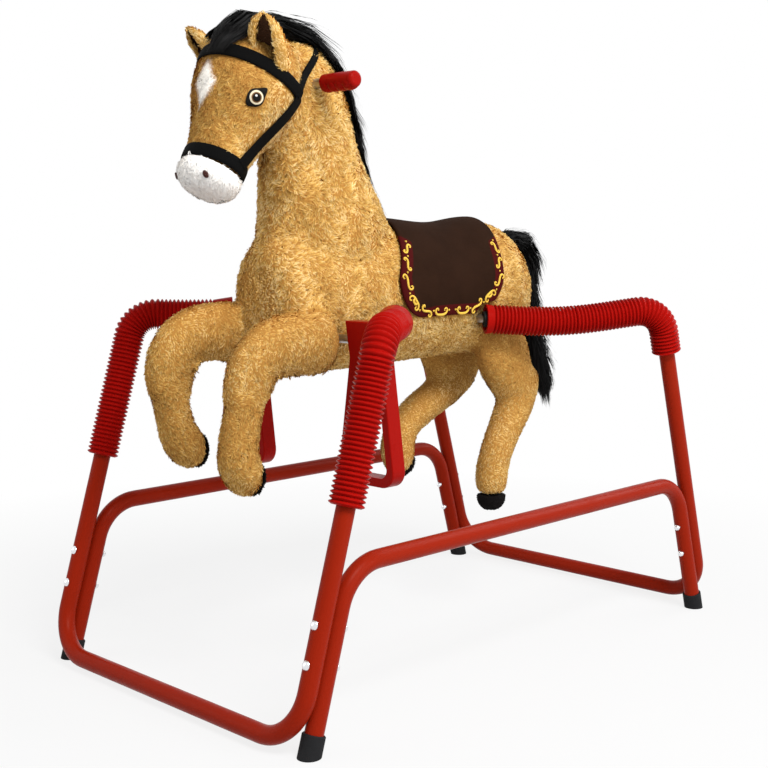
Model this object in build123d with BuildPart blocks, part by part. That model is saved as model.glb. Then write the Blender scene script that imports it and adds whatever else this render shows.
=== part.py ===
"""A plush riding horse hung on four coil springs in a stand of bent steel tube.

Millimetres. The floor is z = 0, the horse faces -Y and its left side is +X.
"""

import os
from math import asin, cos, pi, radians, sin, sqrt, tan

from build123d import *

# Stand of bent tube
foot_span = 1000.0
stand_width = 600.0
lean = 16.6
tube_d = 28.0
tube_wall = 1.6
tube_gap = 0.4
rail_height = 254.0
rail_bend = 78.0
bar_height = 20.0
bar_bend = 75.0

# Rubber feet
foot_wall = 3.0
foot_height = 32.0
foot_base = 6.0
foot_clear = 0.1

# Bolts and dome nuts
bolt_d = 6.0
bolt_clear = 0.25
bolt_head_d = 14.0
bolt_head_h = 4.5
nut_d = 11.0
nut_h = 8.0
bolt_low = 124.0
bolt_pitch = 55.0

# Spring hooks, springs and ribbed covers
spring_height = 578.0
hook_rod_d = 10.0
hook_plug = 30.0
hook_flange = 3.0
hook_clear = 0.2
hook_tip = 6.0
wire_d = 4.0
coil_r = 12.5
coil_turns = 25
coil_lead = 16.0
cover_r = 26.0
cover_root_r = 22.5
cover_bore_r = 20.5
cover_bend = 48.0
cover_ribs = 50
front_cover_drop = 250.0
front_cover_reach = 160.0
rear_cover_drop = 80.0
rear_cover_lap = 12.0

# Bars through the horse and the blocks that hold the springs
spring_bar_d = 16.0
spring_bar_y = 112.0
spring_bar_z = 565.0
spring_bar_half = 108.0
block_d = 28.0
block_len = 26.0
block_cover = 5.0
stirrup_bar_d = 14.0
stirrup_bar_y = 230.0
stirrup_bar_z = 548.0
bar_cap_d = 20.0
bar_cap_len = 6.0
bar_cap_gap = 0.3
running_clear = 0.05
fabric_clear = 1.5
pocket_r = 30.0
pocket_depth = 22.0

# Stirrups
stirrup_x = 152.0
stirrup_depth = 28.0
stirrup_top = 30.0
stirrup_drop = 226.0
flange_inner = 46.0
flange_outer = 6.0
waist_half = 36.0
waist_drop = 28.0
tread_half = 64.0
tread_thick = 15.0
stile = 14.0
slot_drop = 56.0
web_drop = 92.0
web_thick = 18.0
tread_round = 26.0
waist_round = 40.0
opening_round = 14.0
stirrup_edge = 2.5

# Board, brackets, neck post and handle inside the horse
board_width = 70.0
board_thick = 18.0
board_front = 250.0
board_rear = 160.0
bracket_side = 34.0
bracket_len = 40.0
post_d = 32.0
post_foot_y = 165.0
post_overrun = 34.0
handle_y = 255.0
handle_z = 945.0
handle_d = 16.0
grip_inner = 76.0
grip_len = 70.0
grip_d = 26.0
grip_fingers = 4
finger_drop = 3.0
finger_depth = 1.8
grip_end = 6.0

# Trim on the plush
saddle_thick = 4.0
strap_thick = 2.5
strap_width = 17.0
eye_r = 15.0
eye_thick = 2.0
eye_y = 383.0
eye_z = 913.0
saddle_round = 50.0

# Worked out from the sizes above
lean_tan = tan(radians(lean))
lean_cos = cos(radians(lean))
lean_sin = sin(radians(lean))
tube_r = tube_d / 2
bore_r = tube_r - tube_wall
half_width = stand_width / 2
half_span = foot_span / 2
post_span = half_span + (tube_d + tube_gap) / lean_cos
board_z = spring_bar_z + bracket_side / 2
corners = {
    "front_left": (1, -1),
    "front_right": (-1, -1),
    "rear_left": (1, 1),
    "rear_right": (-1, 1),
}

os.makedirs("parts", exist_ok=True)


def write(piece, name):
    """Label a finished piece and write it."""
    piece.label = name
    export_step(piece, f"parts/{name}.step")


def mirrored(piece, side, end=1):
    """A piece made for the left side, or the front, as it is on the side and end asked for."""
    if side < 0:
        piece = mirror(piece, about=Plane.YZ)
    return piece if end > 0 else mirror(piece, about=Plane.XZ)


def upward(end):
    """Direction up a leaning leg at the front end (-1) or the rear end (1)."""
    return Vector(0, -end * lean_sin, lean_cos)


def outward(end):
    """Direction square to a leaning leg, away from the horse."""
    return Vector(0, end * lean_cos, lean_sin)


def spring_corner(side, end):
    """Where a post's axis meets the line of its spring."""
    return Vector(side * half_width, end * post_span, 0) + upward(end) * (spring_height / lean_cos)


def bar_end(side, end):
    """Middle of the block that holds a spring at the end of its bar."""
    return Vector(side * spring_bar_half, end * spring_bar_y, spring_bar_z)


def spring_line(side, end):
    """Direction of a spring, and how far its post's bend takes up each straight run."""
    along = (bar_end(side, end) - spring_corner(side, end)).normalized()
    return along, cover_bend * tan(radians(upward(end).get_angle(along)) / 2)


def bolt_points(end):
    """Where the bolts of one end cross the axes of the rail legs, left and right."""
    return [
        Vector(side * half_width, end * half_span, 0) + upward(end) * (bolt_low + row * bolt_pitch)
        for side in (1, -1)
        for row in range(2)
    ]


def bent_tube(points, bend, outer_r, inner_r=0.0):
    """A round tube or rod along straight runs joined by bends."""
    with BuildPart() as tube:
        with BuildLine() as route:
            FilletPolyline(*points, radius=bend)
        with BuildSketch(Plane(origin=points[0], z_dir=points[1] - points[0])):
            Circle(outer_r)
            if inner_r:
                Circle(inner_r, mode=Mode.SUBTRACT)
        sweep(path=route.wire())
    return tube.part


def crossbar(y, z, radius, half):
    """A round bar across the horse."""
    with BuildPart() as bar:
        with BuildSketch(Plane(origin=(0, y, z), x_dir=(0, 1, 0), z_dir=(1, 0, 0))):
            Circle(radius)
        extrude(amount=half, both=True)
    return bar.part


def oval(plane, half_x, half_y):
    """A closed oval of four arcs of a quarter turn each, tangent where they meet."""
    turn = radians(45)
    lost = (1 - sin(turn)) / cos(turn)
    end_r = (half_y - half_x * lost) / (sin(turn) - lost * (1 - cos(turn)))
    x, y = half_x - end_r * (1 - cos(turn)), end_r * sin(turn)
    with BuildSketch(plane) as section:
        with BuildLine():
            ThreePointArc((x, -y), (half_x, 0), (x, y))
            ThreePointArc((x, y), (0, half_y), (-x, y))
            ThreePointArc((-x, y), (-half_x, 0), (-x, -y))
            ThreePointArc((-x, -y), (0, -half_y), (x, -y))
        make_face()
    return section.sketch


def stuffed(sections):
    """A smooth stuffed form through its cross-sections."""
    with BuildPart() as form:
        loft(sections)
    return form.part


def limb(x, y, z, heading, steps, grow=0.0):
    """Cross-sections along a limb that bends in a plane beside the horse's middle.

    The heading is in degrees from +Y towards +Z. Each step gives the way forward, the turn
    on that way, and half the width and half the depth where it ends.
    """
    sections = []
    for forward, turn, half_x, half_depth in steps:
        y += forward * cos(radians(heading + turn / 2))
        z += forward * sin(radians(heading + turn / 2))
        heading += turn
        along = (0, cos(radians(heading)), sin(radians(heading)))
        plane = Plane(origin=(x, y, z), x_dir=(1, 0, 0), z_dir=along)
        sections.append(oval(plane, half_x + grow, half_depth + grow))
    return sections


def trimmed(form, larger):
    """A stuffed form cut by the larger ones that it is sewn to."""
    with BuildPart() as piece:
        add(form)
        for other in larger:
            add(other, mode=Mode.SUBTRACT)
    return piece.part


def side_slab(y0, z0, y1, z1, thick):
    """A flat band across the horse, from one point of its side view to another."""
    along = Vector(0, y1 - y0, z1 - z0)
    middle = Vector(0, y0, z0) + along / 2
    with BuildPart() as slab:
        with BuildSketch(Plane(origin=middle, x_dir=(1, 0, 0), z_dir=along.cross(Vector(1, 0, 0)))):
            Rectangle(stand_width, along.length)
        extrude(amount=thick / 2, both=True)
    return slab.part


# End frames: one bent tube each, two leaning posts and the bar that joins them near the floor
for name, end in (("front_end_frame", -1), ("rear_end_frame", 1)):
    tops = [spring_corner(side, end) - upward(end) * spring_line(side, end)[1] for side in (1, -1)]
    post_run = (spring_height - bar_height) / lean_cos
    lows = [spring_corner(side, end) - upward(end) * post_run for side in (1, -1)]
    with BuildPart() as end_frame:
        add(bent_tube([tops[0], lows[0], lows[1], tops[1]], bar_bend, tube_r, bore_r))
        for point in bolt_points(end):
            with BuildSketch(Plane(origin=point, z_dir=outward(end))):
                Circle(bolt_d / 2 + bolt_clear)
            extrude(amount=2 * tube_d, mode=Mode.SUBTRACT)
    write(end_frame.part, name)

# Side rails: one bent tube each, a level run and two legs that stand in the rubber feet
for name, side in (("left_side_rail", 1), ("right_side_rail", -1)):
    route = []
    for end in (-1, 1):
        floor_point = Vector(side * half_width, end * half_span, 0)
        route += [floor_point + upward(end) * (height / lean_cos) for height in (foot_base, rail_height)]
    with BuildPart() as rail:
        add(bent_tube([route[0], route[1], route[3], route[2]], rail_bend, tube_r, bore_r))
        for end in (-1, 1):
            for point in bolt_points(end):
                with BuildSketch(Plane(origin=point, z_dir=outward(end))):
                    Circle(bolt_d / 2 + bolt_clear)
                extrude(amount=tube_d, both=True, mode=Mode.SUBTRACT)
    write(rail.part, name)

# Rubber feet: leaning cups on the rail legs, cut flat by the floor
for name, (side, end) in corners.items():
    floor_point = Vector(side * half_width, end * half_span, 0)
    cup_r = tube_r + foot_wall
    with BuildPart() as foot:
        low_point = floor_point - upward(end) * cup_r
        with BuildSketch(Plane(origin=low_point, x_dir=(1, 0, 0), z_dir=upward(end))):
            Circle(cup_r)
        extrude(amount=cup_r + foot_height)
        chamfer(foot.faces().sort_by(Axis.Z)[-1].edges(), foot_wall / 2)
        seat = floor_point + upward(end) * (foot_base / lean_cos)
        with BuildSketch(Plane(origin=seat, x_dir=(1, 0, 0), z_dir=upward(end))):
            Circle(tube_r + foot_clear)
        extrude(amount=foot_height, mode=Mode.SUBTRACT)
        split(bisect_by=Plane.XY, keep=Keep.TOP)
    write(foot.part, f"{name}_foot")

# Bolts with domed heads on the posts, and dome nuts on the rail legs
with BuildPart() as bolts:
    for end in (-1, 1):
        for point in bolt_points(end):
            seat = point + outward(end) * (tube_r + tube_gap + tube_d)
            dome_r = (bolt_head_d**2 / 4 + bolt_head_h**2) / (2 * bolt_head_h)
            half_arc = asin(bolt_head_d / 2 / dome_r) / 2
            shank = 2 * tube_d + tube_gap + nut_h / 2
            facing = Vector(1, 0, 0).cross(outward(end))
            with BuildSketch(Plane(origin=seat, x_dir=(1, 0, 0), z_dir=facing)):
                with BuildLine():
                    ThreePointArc(
                        (bolt_head_d / 2, 0),
                        (dome_r * sin(half_arc), bolt_head_h - dome_r * (1 - cos(half_arc))),
                        (0, bolt_head_h),
                    )
                    Polyline((0, bolt_head_h), (0, -shank), (bolt_d / 2, -shank), (bolt_d / 2, 0))
                    Line((bolt_d / 2, 0), (bolt_head_d / 2, 0))
                make_face()
            revolve(axis=Axis(seat, outward(end)))
write(bolts.part, "frame_bolts")

with BuildPart() as nuts:
    for end in (-1, 1):
        for point in bolt_points(end):
            seat = point - outward(end) * tube_r
            inner_r = bolt_d / 2 + running_clear
            wall_h = nut_h - nut_d / 2
            facing = outward(end).cross(Vector(1, 0, 0))
            with BuildSketch(Plane(origin=seat, x_dir=(1, 0, 0), z_dir=facing)):
                with BuildLine():
                    Polyline((inner_r, 0), (nut_d / 2, 0), (nut_d / 2, wall_h))
                    ThreePointArc(
                        (nut_d / 2, wall_h),
                        (nut_d / 2 * cos(pi / 4), wall_h + nut_d / 2 * sin(pi / 4)),
                        (0, nut_h),
                    )
                    Polyline((0, nut_h), (0, nut_h * 0.6), (inner_r, nut_h * 0.6), (inner_r, 0))
                make_face()
            revolve(axis=Axis(seat, outward(end)))
write(nuts.part, "frame_dome_nuts")

# Spring hooks: a rod bent towards the horse on a plug in the post's top
for name, (side, end) in corners.items():
    corner = spring_corner(side, end)
    along, take_up = spring_line(side, end)
    post_top = corner - upward(end) * take_up
    with BuildPart() as hook:
        rod_end = corner + along * (take_up + hook_tip)
        add(bent_tube([post_top - upward(end) * hook_plug, corner, rod_end], cover_bend, hook_rod_d / 2))
        with BuildSketch(Plane(origin=post_top, x_dir=(1, 0, 0), z_dir=-upward(end))):
            Circle(bore_r - hook_clear)
        extrude(amount=hook_plug)
        with BuildSketch(Plane(origin=post_top, x_dir=(1, 0, 0), z_dir=upward(end))):
            Circle(tube_r)
        extrude(amount=hook_flange)
    write(hook.part, f"{name}_spring_hook")


def biarc(start, start_way, finish, finish_way):
    """Two arcs from one point and direction to another, tangent where they meet."""
    chord, ways = finish - start, start_way + finish_way
    spread = 2 * (1 - start_way.dot(finish_way))
    reach = (sqrt(chord.dot(ways) ** 2 + spread * chord.dot(chord)) - chord.dot(ways)) / spread
    first, last = start + start_way * reach, finish - finish_way * reach
    middle = (first + last) / 2
    TangentArc(start, middle, tangent=start_way)
    TangentArc(middle, finish, tangent=last - first)


def coil(start, finish, across):
    """A coil spring of one wire, its ends straight on the axis, and its least gap to itself."""
    along = (finish - start).normalized()
    other = along.cross(across)
    first = wire_d + coil_lead
    rise = ((finish - start).length - 2 * first) / (2 * pi * coil_turns)
    knots = [(start + along * wire_d, along)]
    for quarter in range(4 * coil_turns + 1):
        angle = quarter * pi / 2
        around = across * cos(angle) + other * sin(angle)
        onward = other * cos(angle) - across * sin(angle)
        point = start + along * (first + rise * angle) + around * coil_r
        knots.append((point, (along * rise + onward * coil_r).normalized()))
    knots.append((finish - along * wire_d, along))
    with BuildPart() as spring:
        with BuildLine() as route:
            Line(start, knots[0][0])
            for (point, way), (next_point, next_way) in zip(knots, knots[1:]):
                biarc(point, way, next_point, next_way)
            Line(knots[-1][0], finish)
        with BuildSketch(Plane(origin=start, z_dir=along)):
            Circle(wire_d / 2)
        sweep(path=route.wire())
    per_turn = 24
    count = per_turn * coil_turns
    samples = [route.wire().position_at(i / count) for i in range(count + 1)]
    apart = min(
        (a - b).length
        for i, a in enumerate(samples)
        for b in samples[i + per_turn // 2 : i + 2 * per_turn]
    )
    return spring.part, apart - wire_d


# Coil springs from the hooks to the blocks on the horse's bars, all alike
along, take_up = spring_line(1, -1)
hook_end = spring_corner(1, -1) + along * (take_up + hook_tip)
sideways = upward(-1).cross(along).normalized()
spring, least_gap = coil(hook_end, bar_end(1, -1) - along * (block_len / 2), sideways)
print(f"springs: least gap between turns {least_gap:.2f} mm")
for name, (side, end) in corners.items():
    write(mirrored(spring, side, -end), f"{name}_spring")

# Ribbed covers: loose plastic hoses bent over the post tops, the front ones slid down their posts
for name, end in (("front", -1), ("rear", 1)):
    corner = spring_corner(1, end)
    along, take_up = spring_line(1, end)
    sideways = upward(end).cross(along).normalized()
    full_reach = (bar_end(1, end) - corner).length - block_len / 2 + rear_cover_lap
    drop, reach = (front_cover_drop, front_cover_reach) if end < 0 else (rear_cover_drop, full_reach)
    ends = [corner - upward(end) * drop, corner, corner + along * reach]
    with BuildLine() as route:
        FilletPolyline(*ends, radius=cover_bend)
    line = route.wire()
    pitch = line.length / cover_ribs
    rings = [(0.0, cover_root_r)]
    for rib in range(cover_ribs):
        for share, radius in ((0.15, cover_root_r), (0.35, cover_r), (0.65, cover_r), (0.85, cover_root_r)):
            rings.append(((rib + share) * pitch, radius))
    rings.append((line.length, cover_root_r))
    circles = []
    for distance, radius in rings:
        middle = line.position_at(distance, position_mode=PositionMode.LENGTH)
        way = line.tangent_at(distance, position_mode=PositionMode.LENGTH)
        with BuildSketch(Plane(origin=middle, x_dir=sideways, z_dir=way)) as ring:
            Circle(radius)
        circles.append(ring.sketch)
    with BuildPart() as cover:
        loft(circles, ruled=True)
        add(bent_tube(ends, cover_bend, cover_bore_r), mode=Mode.SUBTRACT)
    for side_name, side in (("left", 1), ("right", -1)):
        write(mirrored(cover.part, side), f"{name}_{side_name}_spring_cover")

# Bars across the horse, and the blocks on their ends that take the springs
front_bar = crossbar(-spring_bar_y, spring_bar_z, spring_bar_d / 2, spring_bar_half + block_cover)
rear_bar = crossbar(spring_bar_y, spring_bar_z, spring_bar_d / 2, spring_bar_half + block_cover)
outer_slope = (waist_half - flange_outer) / (stirrup_top + waist_drop)
stirrup_reach = stirrup_x + flange_outer + outer_slope * (stirrup_top + bar_cap_d / 2) + bar_cap_gap
stirrup_bar = crossbar(-stirrup_bar_y, stirrup_bar_z, stirrup_bar_d / 2, stirrup_reach + bar_cap_len / 2)
write(front_bar, "front_spring_bar")
write(rear_bar, "rear_spring_bar")
write(stirrup_bar, "stirrup_bar")

for name, end in (("front_spring_blocks", -1), ("rear_spring_blocks", 1)):
    socket_r = spring_bar_d / 2 + running_clear
    socket = crossbar(end * spring_bar_y, spring_bar_z, socket_r, spring_bar_half + block_cover)
    with BuildPart() as blocks:
        for side in (1, -1):
            with BuildSketch(Plane(origin=bar_end(side, end), z_dir=spring_line(side, end)[0])):
                Circle(block_d / 2)
            extrude(amount=block_len / 2, both=True)
        add(socket, mode=Mode.SUBTRACT)
    write(blocks.part, name)

with BuildPart() as bar_caps:
    for side in (1, -1):
        seat = Vector(side * stirrup_reach, -stirrup_bar_y, stirrup_bar_z)
        with BuildSketch(Plane(origin=seat, z_dir=(side, 0, 0))):
            Circle(bar_cap_d / 2)
        extrude(amount=bar_cap_len)
    fillet(bar_caps.edges().group_by(SortBy.LENGTH)[-1], bar_cap_len / 4)
    add(stirrup_bar, mode=Mode.SUBTRACT)
write(bar_caps.part, "stirrup_bar_caps")

# Stirrups: moulded loops that hang from their bar, a slot above the web and the foot opening below
def inside(drop):
    """Half width inside a stirrup's stiles, a drop below its bar."""
    widening = (tread_half - waist_half) / (stirrup_drop - waist_drop)
    return waist_half + widening * (drop - waist_drop) - stile


for name, side in (("left_stirrup", 1), ("right_stirrup", -1)):
    hang_point = (side * stirrup_x, -stirrup_bar_y, stirrup_bar_z)
    middle = Plane(origin=hang_point, x_dir=(side, 0, 0), z_dir=(0, -side, 0))
    with BuildPart() as stirrup:
        with BuildSketch(middle) as loop:
            with BuildLine():
                Polyline(
                    (flange_outer, stirrup_top),
                    (waist_half, -waist_drop),
                    (tread_half, -stirrup_drop),
                    (-tread_half, -stirrup_drop),
                    (-waist_half, -waist_drop),
                    (-flange_inner, stirrup_top),
                    close=True,
                )
            make_face()
            fillet(loop.vertices().group_by(Axis.Y)[0], tread_round)
            fillet(loop.vertices().group_by(Axis.Y)[-2], waist_round)
        extrude(amount=stirrup_depth / 2, both=True)
        fillet(stirrup.faces().filter_by(Axis.Y).edges(), stirrup_edge)
        for top, bottom in ((slot_drop, web_drop), (web_drop + web_thick, stirrup_drop - tread_thick)):
            with BuildSketch(middle) as opening:
                with BuildLine():
                    right = [(inside(top), -top), (inside(bottom), -bottom)]
                    Polyline(*right, *[(-x, y) for x, y in reversed(right)], close=True)
                make_face()
                fillet(opening.vertices(), opening_round)
            extrude(amount=stirrup_depth, both=True, mode=Mode.SUBTRACT)
        bore_d = stirrup_bar_d + 2 * running_clear
        add(crossbar(-stirrup_bar_y, stirrup_bar_z, bore_d / 2, 2 * stirrup_x), mode=Mode.SUBTRACT)
    write(stirrup.part, name)

# Spine board and the brackets under it that hold the three bars
with BuildPart() as board:
    with BuildSketch(Plane.XY.offset(board_z)):
        with Locations((0, (board_rear - board_front) / 2)):
            RectangleRounded(board_width, board_front + board_rear, board_width / 4)
    extrude(amount=board_thick)
write(board.part, "spine_board")

brackets = {
    "front_bar_bracket": (-spring_bar_y, spring_bar_z, spring_bar_d),
    "rear_bar_bracket": (spring_bar_y, spring_bar_z, spring_bar_d),
    "stirrup_bar_bracket": (-stirrup_bar_y, stirrup_bar_z, stirrup_bar_d),
}
inner_pieces = [board.part]
for name, (y, z, bar_d) in brackets.items():
    with BuildPart() as bracket:
        low = z - bracket_side / 2
        with BuildSketch(Plane(origin=(0, y, low))):
            RectangleRounded(board_width, bracket_len, bracket_len / 6)
        extrude(amount=board_z - low)
        inner_pieces.append(bracket.part)
        add(crossbar(y, z, bar_d / 2 + running_clear, board_width), mode=Mode.SUBTRACT)
    write(bracket.part, name)

# Neck post from the board to the handle rod, and the rod with its two hand grips
post_foot = Vector(0, -post_foot_y, board_z + board_thick)
post_way = (Vector(0, -handle_y, handle_z) - post_foot).normalized()
post_length = (Vector(0, -handle_y, handle_z) - post_foot).length + post_overrun
handle_rod = crossbar(-handle_y, handle_z, handle_d / 2, grip_inner + grip_len - grip_end)
with BuildPart() as neck_post:
    with BuildSketch(Plane(origin=post_foot - post_way * post_d, x_dir=(1, 0, 0), z_dir=post_way)):
        Circle(post_d / 2)
    extrude(amount=post_d + post_length)
    fillet(neck_post.edges().sort_by(Axis.Z)[-1], post_d / 6)
    split(bisect_by=Plane.XY.offset(post_foot.Z), keep=Keep.TOP)
    solid_post = neck_post.part
    add(crossbar(-handle_y, handle_z, handle_d / 2 + running_clear, post_d), mode=Mode.SUBTRACT)
write(neck_post.part, "neck_post")
write(handle_rod, "handle_rod")
inner_pieces += [solid_post]

for name, side in (("left_hand_grip", 1), ("right_hand_grip", -1)):
    start = Vector(side * grip_inner, -handle_y, handle_z)
    finger = (grip_len - grip_end) / grip_fingers
    valley = grip_d / 2 - finger_depth
    with BuildPart() as grip:
        with BuildSketch(Plane(origin=start, x_dir=(side, 0, 0), z_dir=(0, -side, 0))):
            with BuildLine():
                Polyline((grip_len, 0), (0, 0), (0, grip_d / 2), (grip_len - grip_end, grip_d / 2))
                JernArc((grip_len - grip_end, grip_d / 2), (1, 0), grip_end, -90)
                Line((grip_len, grip_d / 2 - grip_end), (grip_len, 0))
            make_face()
        revolve(axis=Axis(start, (1, 0, 0)))
        under = start - Vector(0, 0, finger_drop)
        with BuildSketch(Plane(origin=under, x_dir=(side, 0, 0), z_dir=(0, -side, 0))):
            with BuildLine():
                Polyline((0, valley), (0, 0), (grip_fingers * finger, 0), (grip_fingers * finger, valley))
                for i in range(grip_fingers):
                    ThreePointArc(
                        (i * finger, valley),
                        ((i + 0.5) * finger, valley + finger_depth),
                        ((i + 1) * finger, valley),
                    )
            make_face()
        revolve(axis=Axis(under, (1, 0, 0)))
        add(handle_rod, mode=Mode.SUBTRACT)
    write(grip.part, name)


def body_form(grow=0.0):
    """The barrel from chest to rump, by its y, z, half width and half height."""
    stations = (
        (-334, 618, 44, 60),
        (-308, 616, 78, 96),
        (-240, 612, 95, 121),
        (-140, 612, 100, 126),
        (-20, 612, 101, 122),
        (80, 613, 100, 120),
        (180, 618, 100, 122),
        (238, 614, 90, 111),
        (282, 606, 66, 84),
        (306, 600, 36, 50),
    )
    sections = []
    for y, z, half_x, half_z in stations:
        plane = Plane(origin=(0, y, z), x_dir=(1, 0, 0), z_dir=(0, -1, 0))
        sections.append(oval(plane, half_x + grow, half_z + grow))
    return stuffed(sections)


def neck_form():
    """The neck from inside the chest to the poll, by its z, y, half width and half length."""
    stations = (
        (620, -190, 72, 106),
        (690, -190, 88, 130),
        (750, -194, 86, 119),
        (820, -214, 75, 96),
        (890, -230, 67, 85),
        (950, -243, 60, 81),
        (990, -256, 50, 64),
        (1010, -262, 32, 42),
    )
    return stuffed([oval(Plane(origin=(0, y, z)), half_x, half_y) for z, y, half_x, half_y in stations])


head_tilt = 241.0
head_top = (-307.0, 1008.0)


def head_form(grow=0.0):
    """The head from the poll to the bridge of the nose."""
    steps = (
        (0, 0, 54, 50),
        (28, 0, 70, 72),
        (28, 0, 79, 84),
        (40, 0, 82, 86),
        (44, 0, 71, 73),
        (50, 0, 56, 54),
        (40, 0, 49, 46),
    )
    return stuffed(limb(0, *head_top, head_tilt, steps, grow))


# Plush body, neck, head and muzzle, each cut by the larger form that it is sewn to
bar_holes = [
    crossbar(-spring_bar_y, spring_bar_z, spring_bar_d / 2 + fabric_clear, stand_width / 2),
    crossbar(spring_bar_y, spring_bar_z, spring_bar_d / 2, stand_width / 2),
    crossbar(-stirrup_bar_y, stirrup_bar_z, stirrup_bar_d / 2, stand_width / 2),
]
with BuildPart() as pockets:
    for side, end in corners.values():
        mouth = bar_end(side, end) - Vector(side * pocket_depth, 0, 0)
        with BuildSketch(Plane(origin=mouth, z_dir=(side, 0, 0))):
            Circle(pocket_r)
        extrude(amount=4 * pocket_depth)
whole_body = body_form()
body = trimmed(whole_body, inner_pieces + bar_holes + [pockets.part])
write(body, "body")

whole_neck = neck_form()
neck = trimmed(whole_neck, [whole_body, solid_post, handle_rod])
write(neck, "neck")

whole_head = head_form()
head = trimmed(whole_head, [whole_neck, solid_post, handle_rod])
write(head, "head")

muzzle_steps = ((206, 0, 44, 42), (20, 0, 50, 48), (17, 0, 53, 51), (17, 0, 45, 44), (11, 0, 27, 27))
whole_muzzle = stuffed(limb(0, *head_top, head_tilt, muzzle_steps))
write(trimmed(whole_muzzle, [whole_head]), "muzzle")

# Ears: leaf-shaped, splayed out above the brow
ears = {}
for name, side in (("left_ear", 1), ("right_ear", -1)):
    root, tip = Vector(side * 50, -342, 955), Vector(side * 91, -390, 1029)
    ear_way = (tip - root).normalized()
    steps = ((0.0, 22, 15), (0.3, 27, 14), (0.6, 23, 11), (0.85, 12, 7), (1.0, 4, 3))
    sections = []
    for share, half_x, half_depth in steps:
        plane = Plane(origin=root + (tip - root) * share, x_dir=(0.75, side * 0.66, 0), z_dir=ear_way)
        sections.append(oval(plane, half_x, half_depth))
    ears[name] = stuffed(sections)
    write(trimmed(ears[name], [whole_head, whole_neck]), name)

# Legs: stuffed limbs sewn to the body, their last two steps a dark sole or hoof
shoulder = ((0, 0, 20, 22), (10, 0, 38, 40), (30, 0, 43, 45))
knee = ((0, 0, 26, 28), (10, 0, 38, 42))
legs = {
    "front_left": (80, -252, 546, 180),
    "front_right": (-76, -252, 554, 178),
    "hind_left": (70, 236, 468, 278),
    "hind_right": (-70, 231, 502, 270),
}
leg_steps = {
    "front_left": (
        *shoulder,
        (50, 2, 41, 42),
        (36, 18, 38, 39),
        (34, 30, 35, 36),
        (34, 28, 33, 34),
        (48, 0, 32, 33),
        (40, 0, 33, 34),
        (32, 30, 35, 36),
        (26, 44, 34, 35),
        (10, 14, 27, 28),
        (3, 0, 26, 27),
        (2, 0, 22, 23),
    ),
    "front_right": (
        *shoulder,
        (50, 0, 40, 41),
        (46, 6, 38, 39),
        (36, 28, 35, 37),
        (36, 36, 34, 35),
        (34, 26, 32, 33),
        (40, 8, 32, 32),
        (40, 6, 33, 33),
        (26, 24, 35, 36),
        (20, 28, 33, 34),
        (10, 10, 27, 28),
        (3, 0, 26, 27),
        (2, 0, 22, 23),
    ),
    "hind_left": (
        *knee,
        (28, -14, 40, 45),
        (36, -24, 37, 41),
        (50, -4, 34, 36),
        (46, 6, 33, 34),
        (34, 20, 33, 34),
        (30, 8, 31, 32),
        (14, 0, 26, 27),
        (16, 0, 24, 25),
        (12, 2, 13, 14),
    ),
    "hind_right": (
        *knee,
        (16, -6, 43, 50),
        (34, -32, 40, 44),
        (36, -26, 37, 40),
        (60, 0, 34, 36),
        (52, 6, 33, 34),
        (34, 30, 34, 35),
        (34, 34, 35, 36),
        (20, 30, 33, 34),
        (10, 14, 27, 28),
        (3, 0, 26, 27),
        (2, 0, 22, 23),
    ),
}
haunch = (160, 566, 292)
haunch_steps = (
    (0, 0, 20, 44),
    (45, 2, 38, 62),
    (45, 4, 46, 60),
    (40, 4, 43, 52),
    (28, 0, 36, 42),
    (12, 0, 20, 24),
)
for name, start in legs.items():
    sections = limb(*start, leg_steps[name])
    with BuildPart() as leg:
        add(stuffed(sections[:-2]))
        if name.startswith("hind"):
            add(stuffed(limb(start[0], *haunch, haunch_steps)))
    write(trimmed(leg.part, [whole_body, pockets.part]), f"{name}_leg")
    write(stuffed(sections[-3:]), f"{name}_sole")

# Tail: a hank of hair from the top of the rump
tail_steps = (
    (0, 0, 12, 12),
    (32, -18, 18, 18),
    (34, -46, 22, 22),
    (38, -46, 23, 23),
    (58, -4, 19, 18),
    (80, 12, 21, 20),
    (72, 6, 21, 20),
    (44, 4, 15, 14),
    (20, 0, 6, 6),
)
tail = stuffed(limb(0, 262, 694, 28, tail_steps))
write(trimmed(tail, [whole_body]), "tail")

# Mane: a ridge of hair from the forelock over the poll and down the back of the neck
mane_steps = (
    (0, 0, 10, 8),
    (26, -12, 20, 16),
    (40, -22, 25, 20),
    (52, -28, 26, 20),
    (56, -24, 24, 22),
    (60, -24, 22, 24),
    (60, -10, 20, 24),
    (60, -2, 16, 20),
    (44, 4, 6, 8),
)
mane = stuffed(limb(0, -404, 982, 56, mane_steps))
write(trimmed(mane, [whole_head, whole_neck, whole_body, *ears.values()]), "mane")

# Saddle: a sewn cloth panel over the back, following the barrel
with BuildPart() as saddle_side:
    with BuildSketch(Plane.YZ) as saddle_outline:
        with BuildLine():
            Polyline((-40, 780), (-102, 640), (-92, 572), (148, 572), (160, 680), (184, 780), close=True)
        make_face()
        fillet(saddle_outline.vertices().group_by(Axis.Y)[0], saddle_round)
    extrude(amount=half_width, both=True)
with BuildPart() as saddle:
    add(body_form(saddle_thick))
    add(saddle_side.part, mode=Mode.INTERSECT)
    for other in (whole_body, whole_neck, pockets.part):
        add(other, mode=Mode.SUBTRACT)
write(saddle.part, "saddle")

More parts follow.
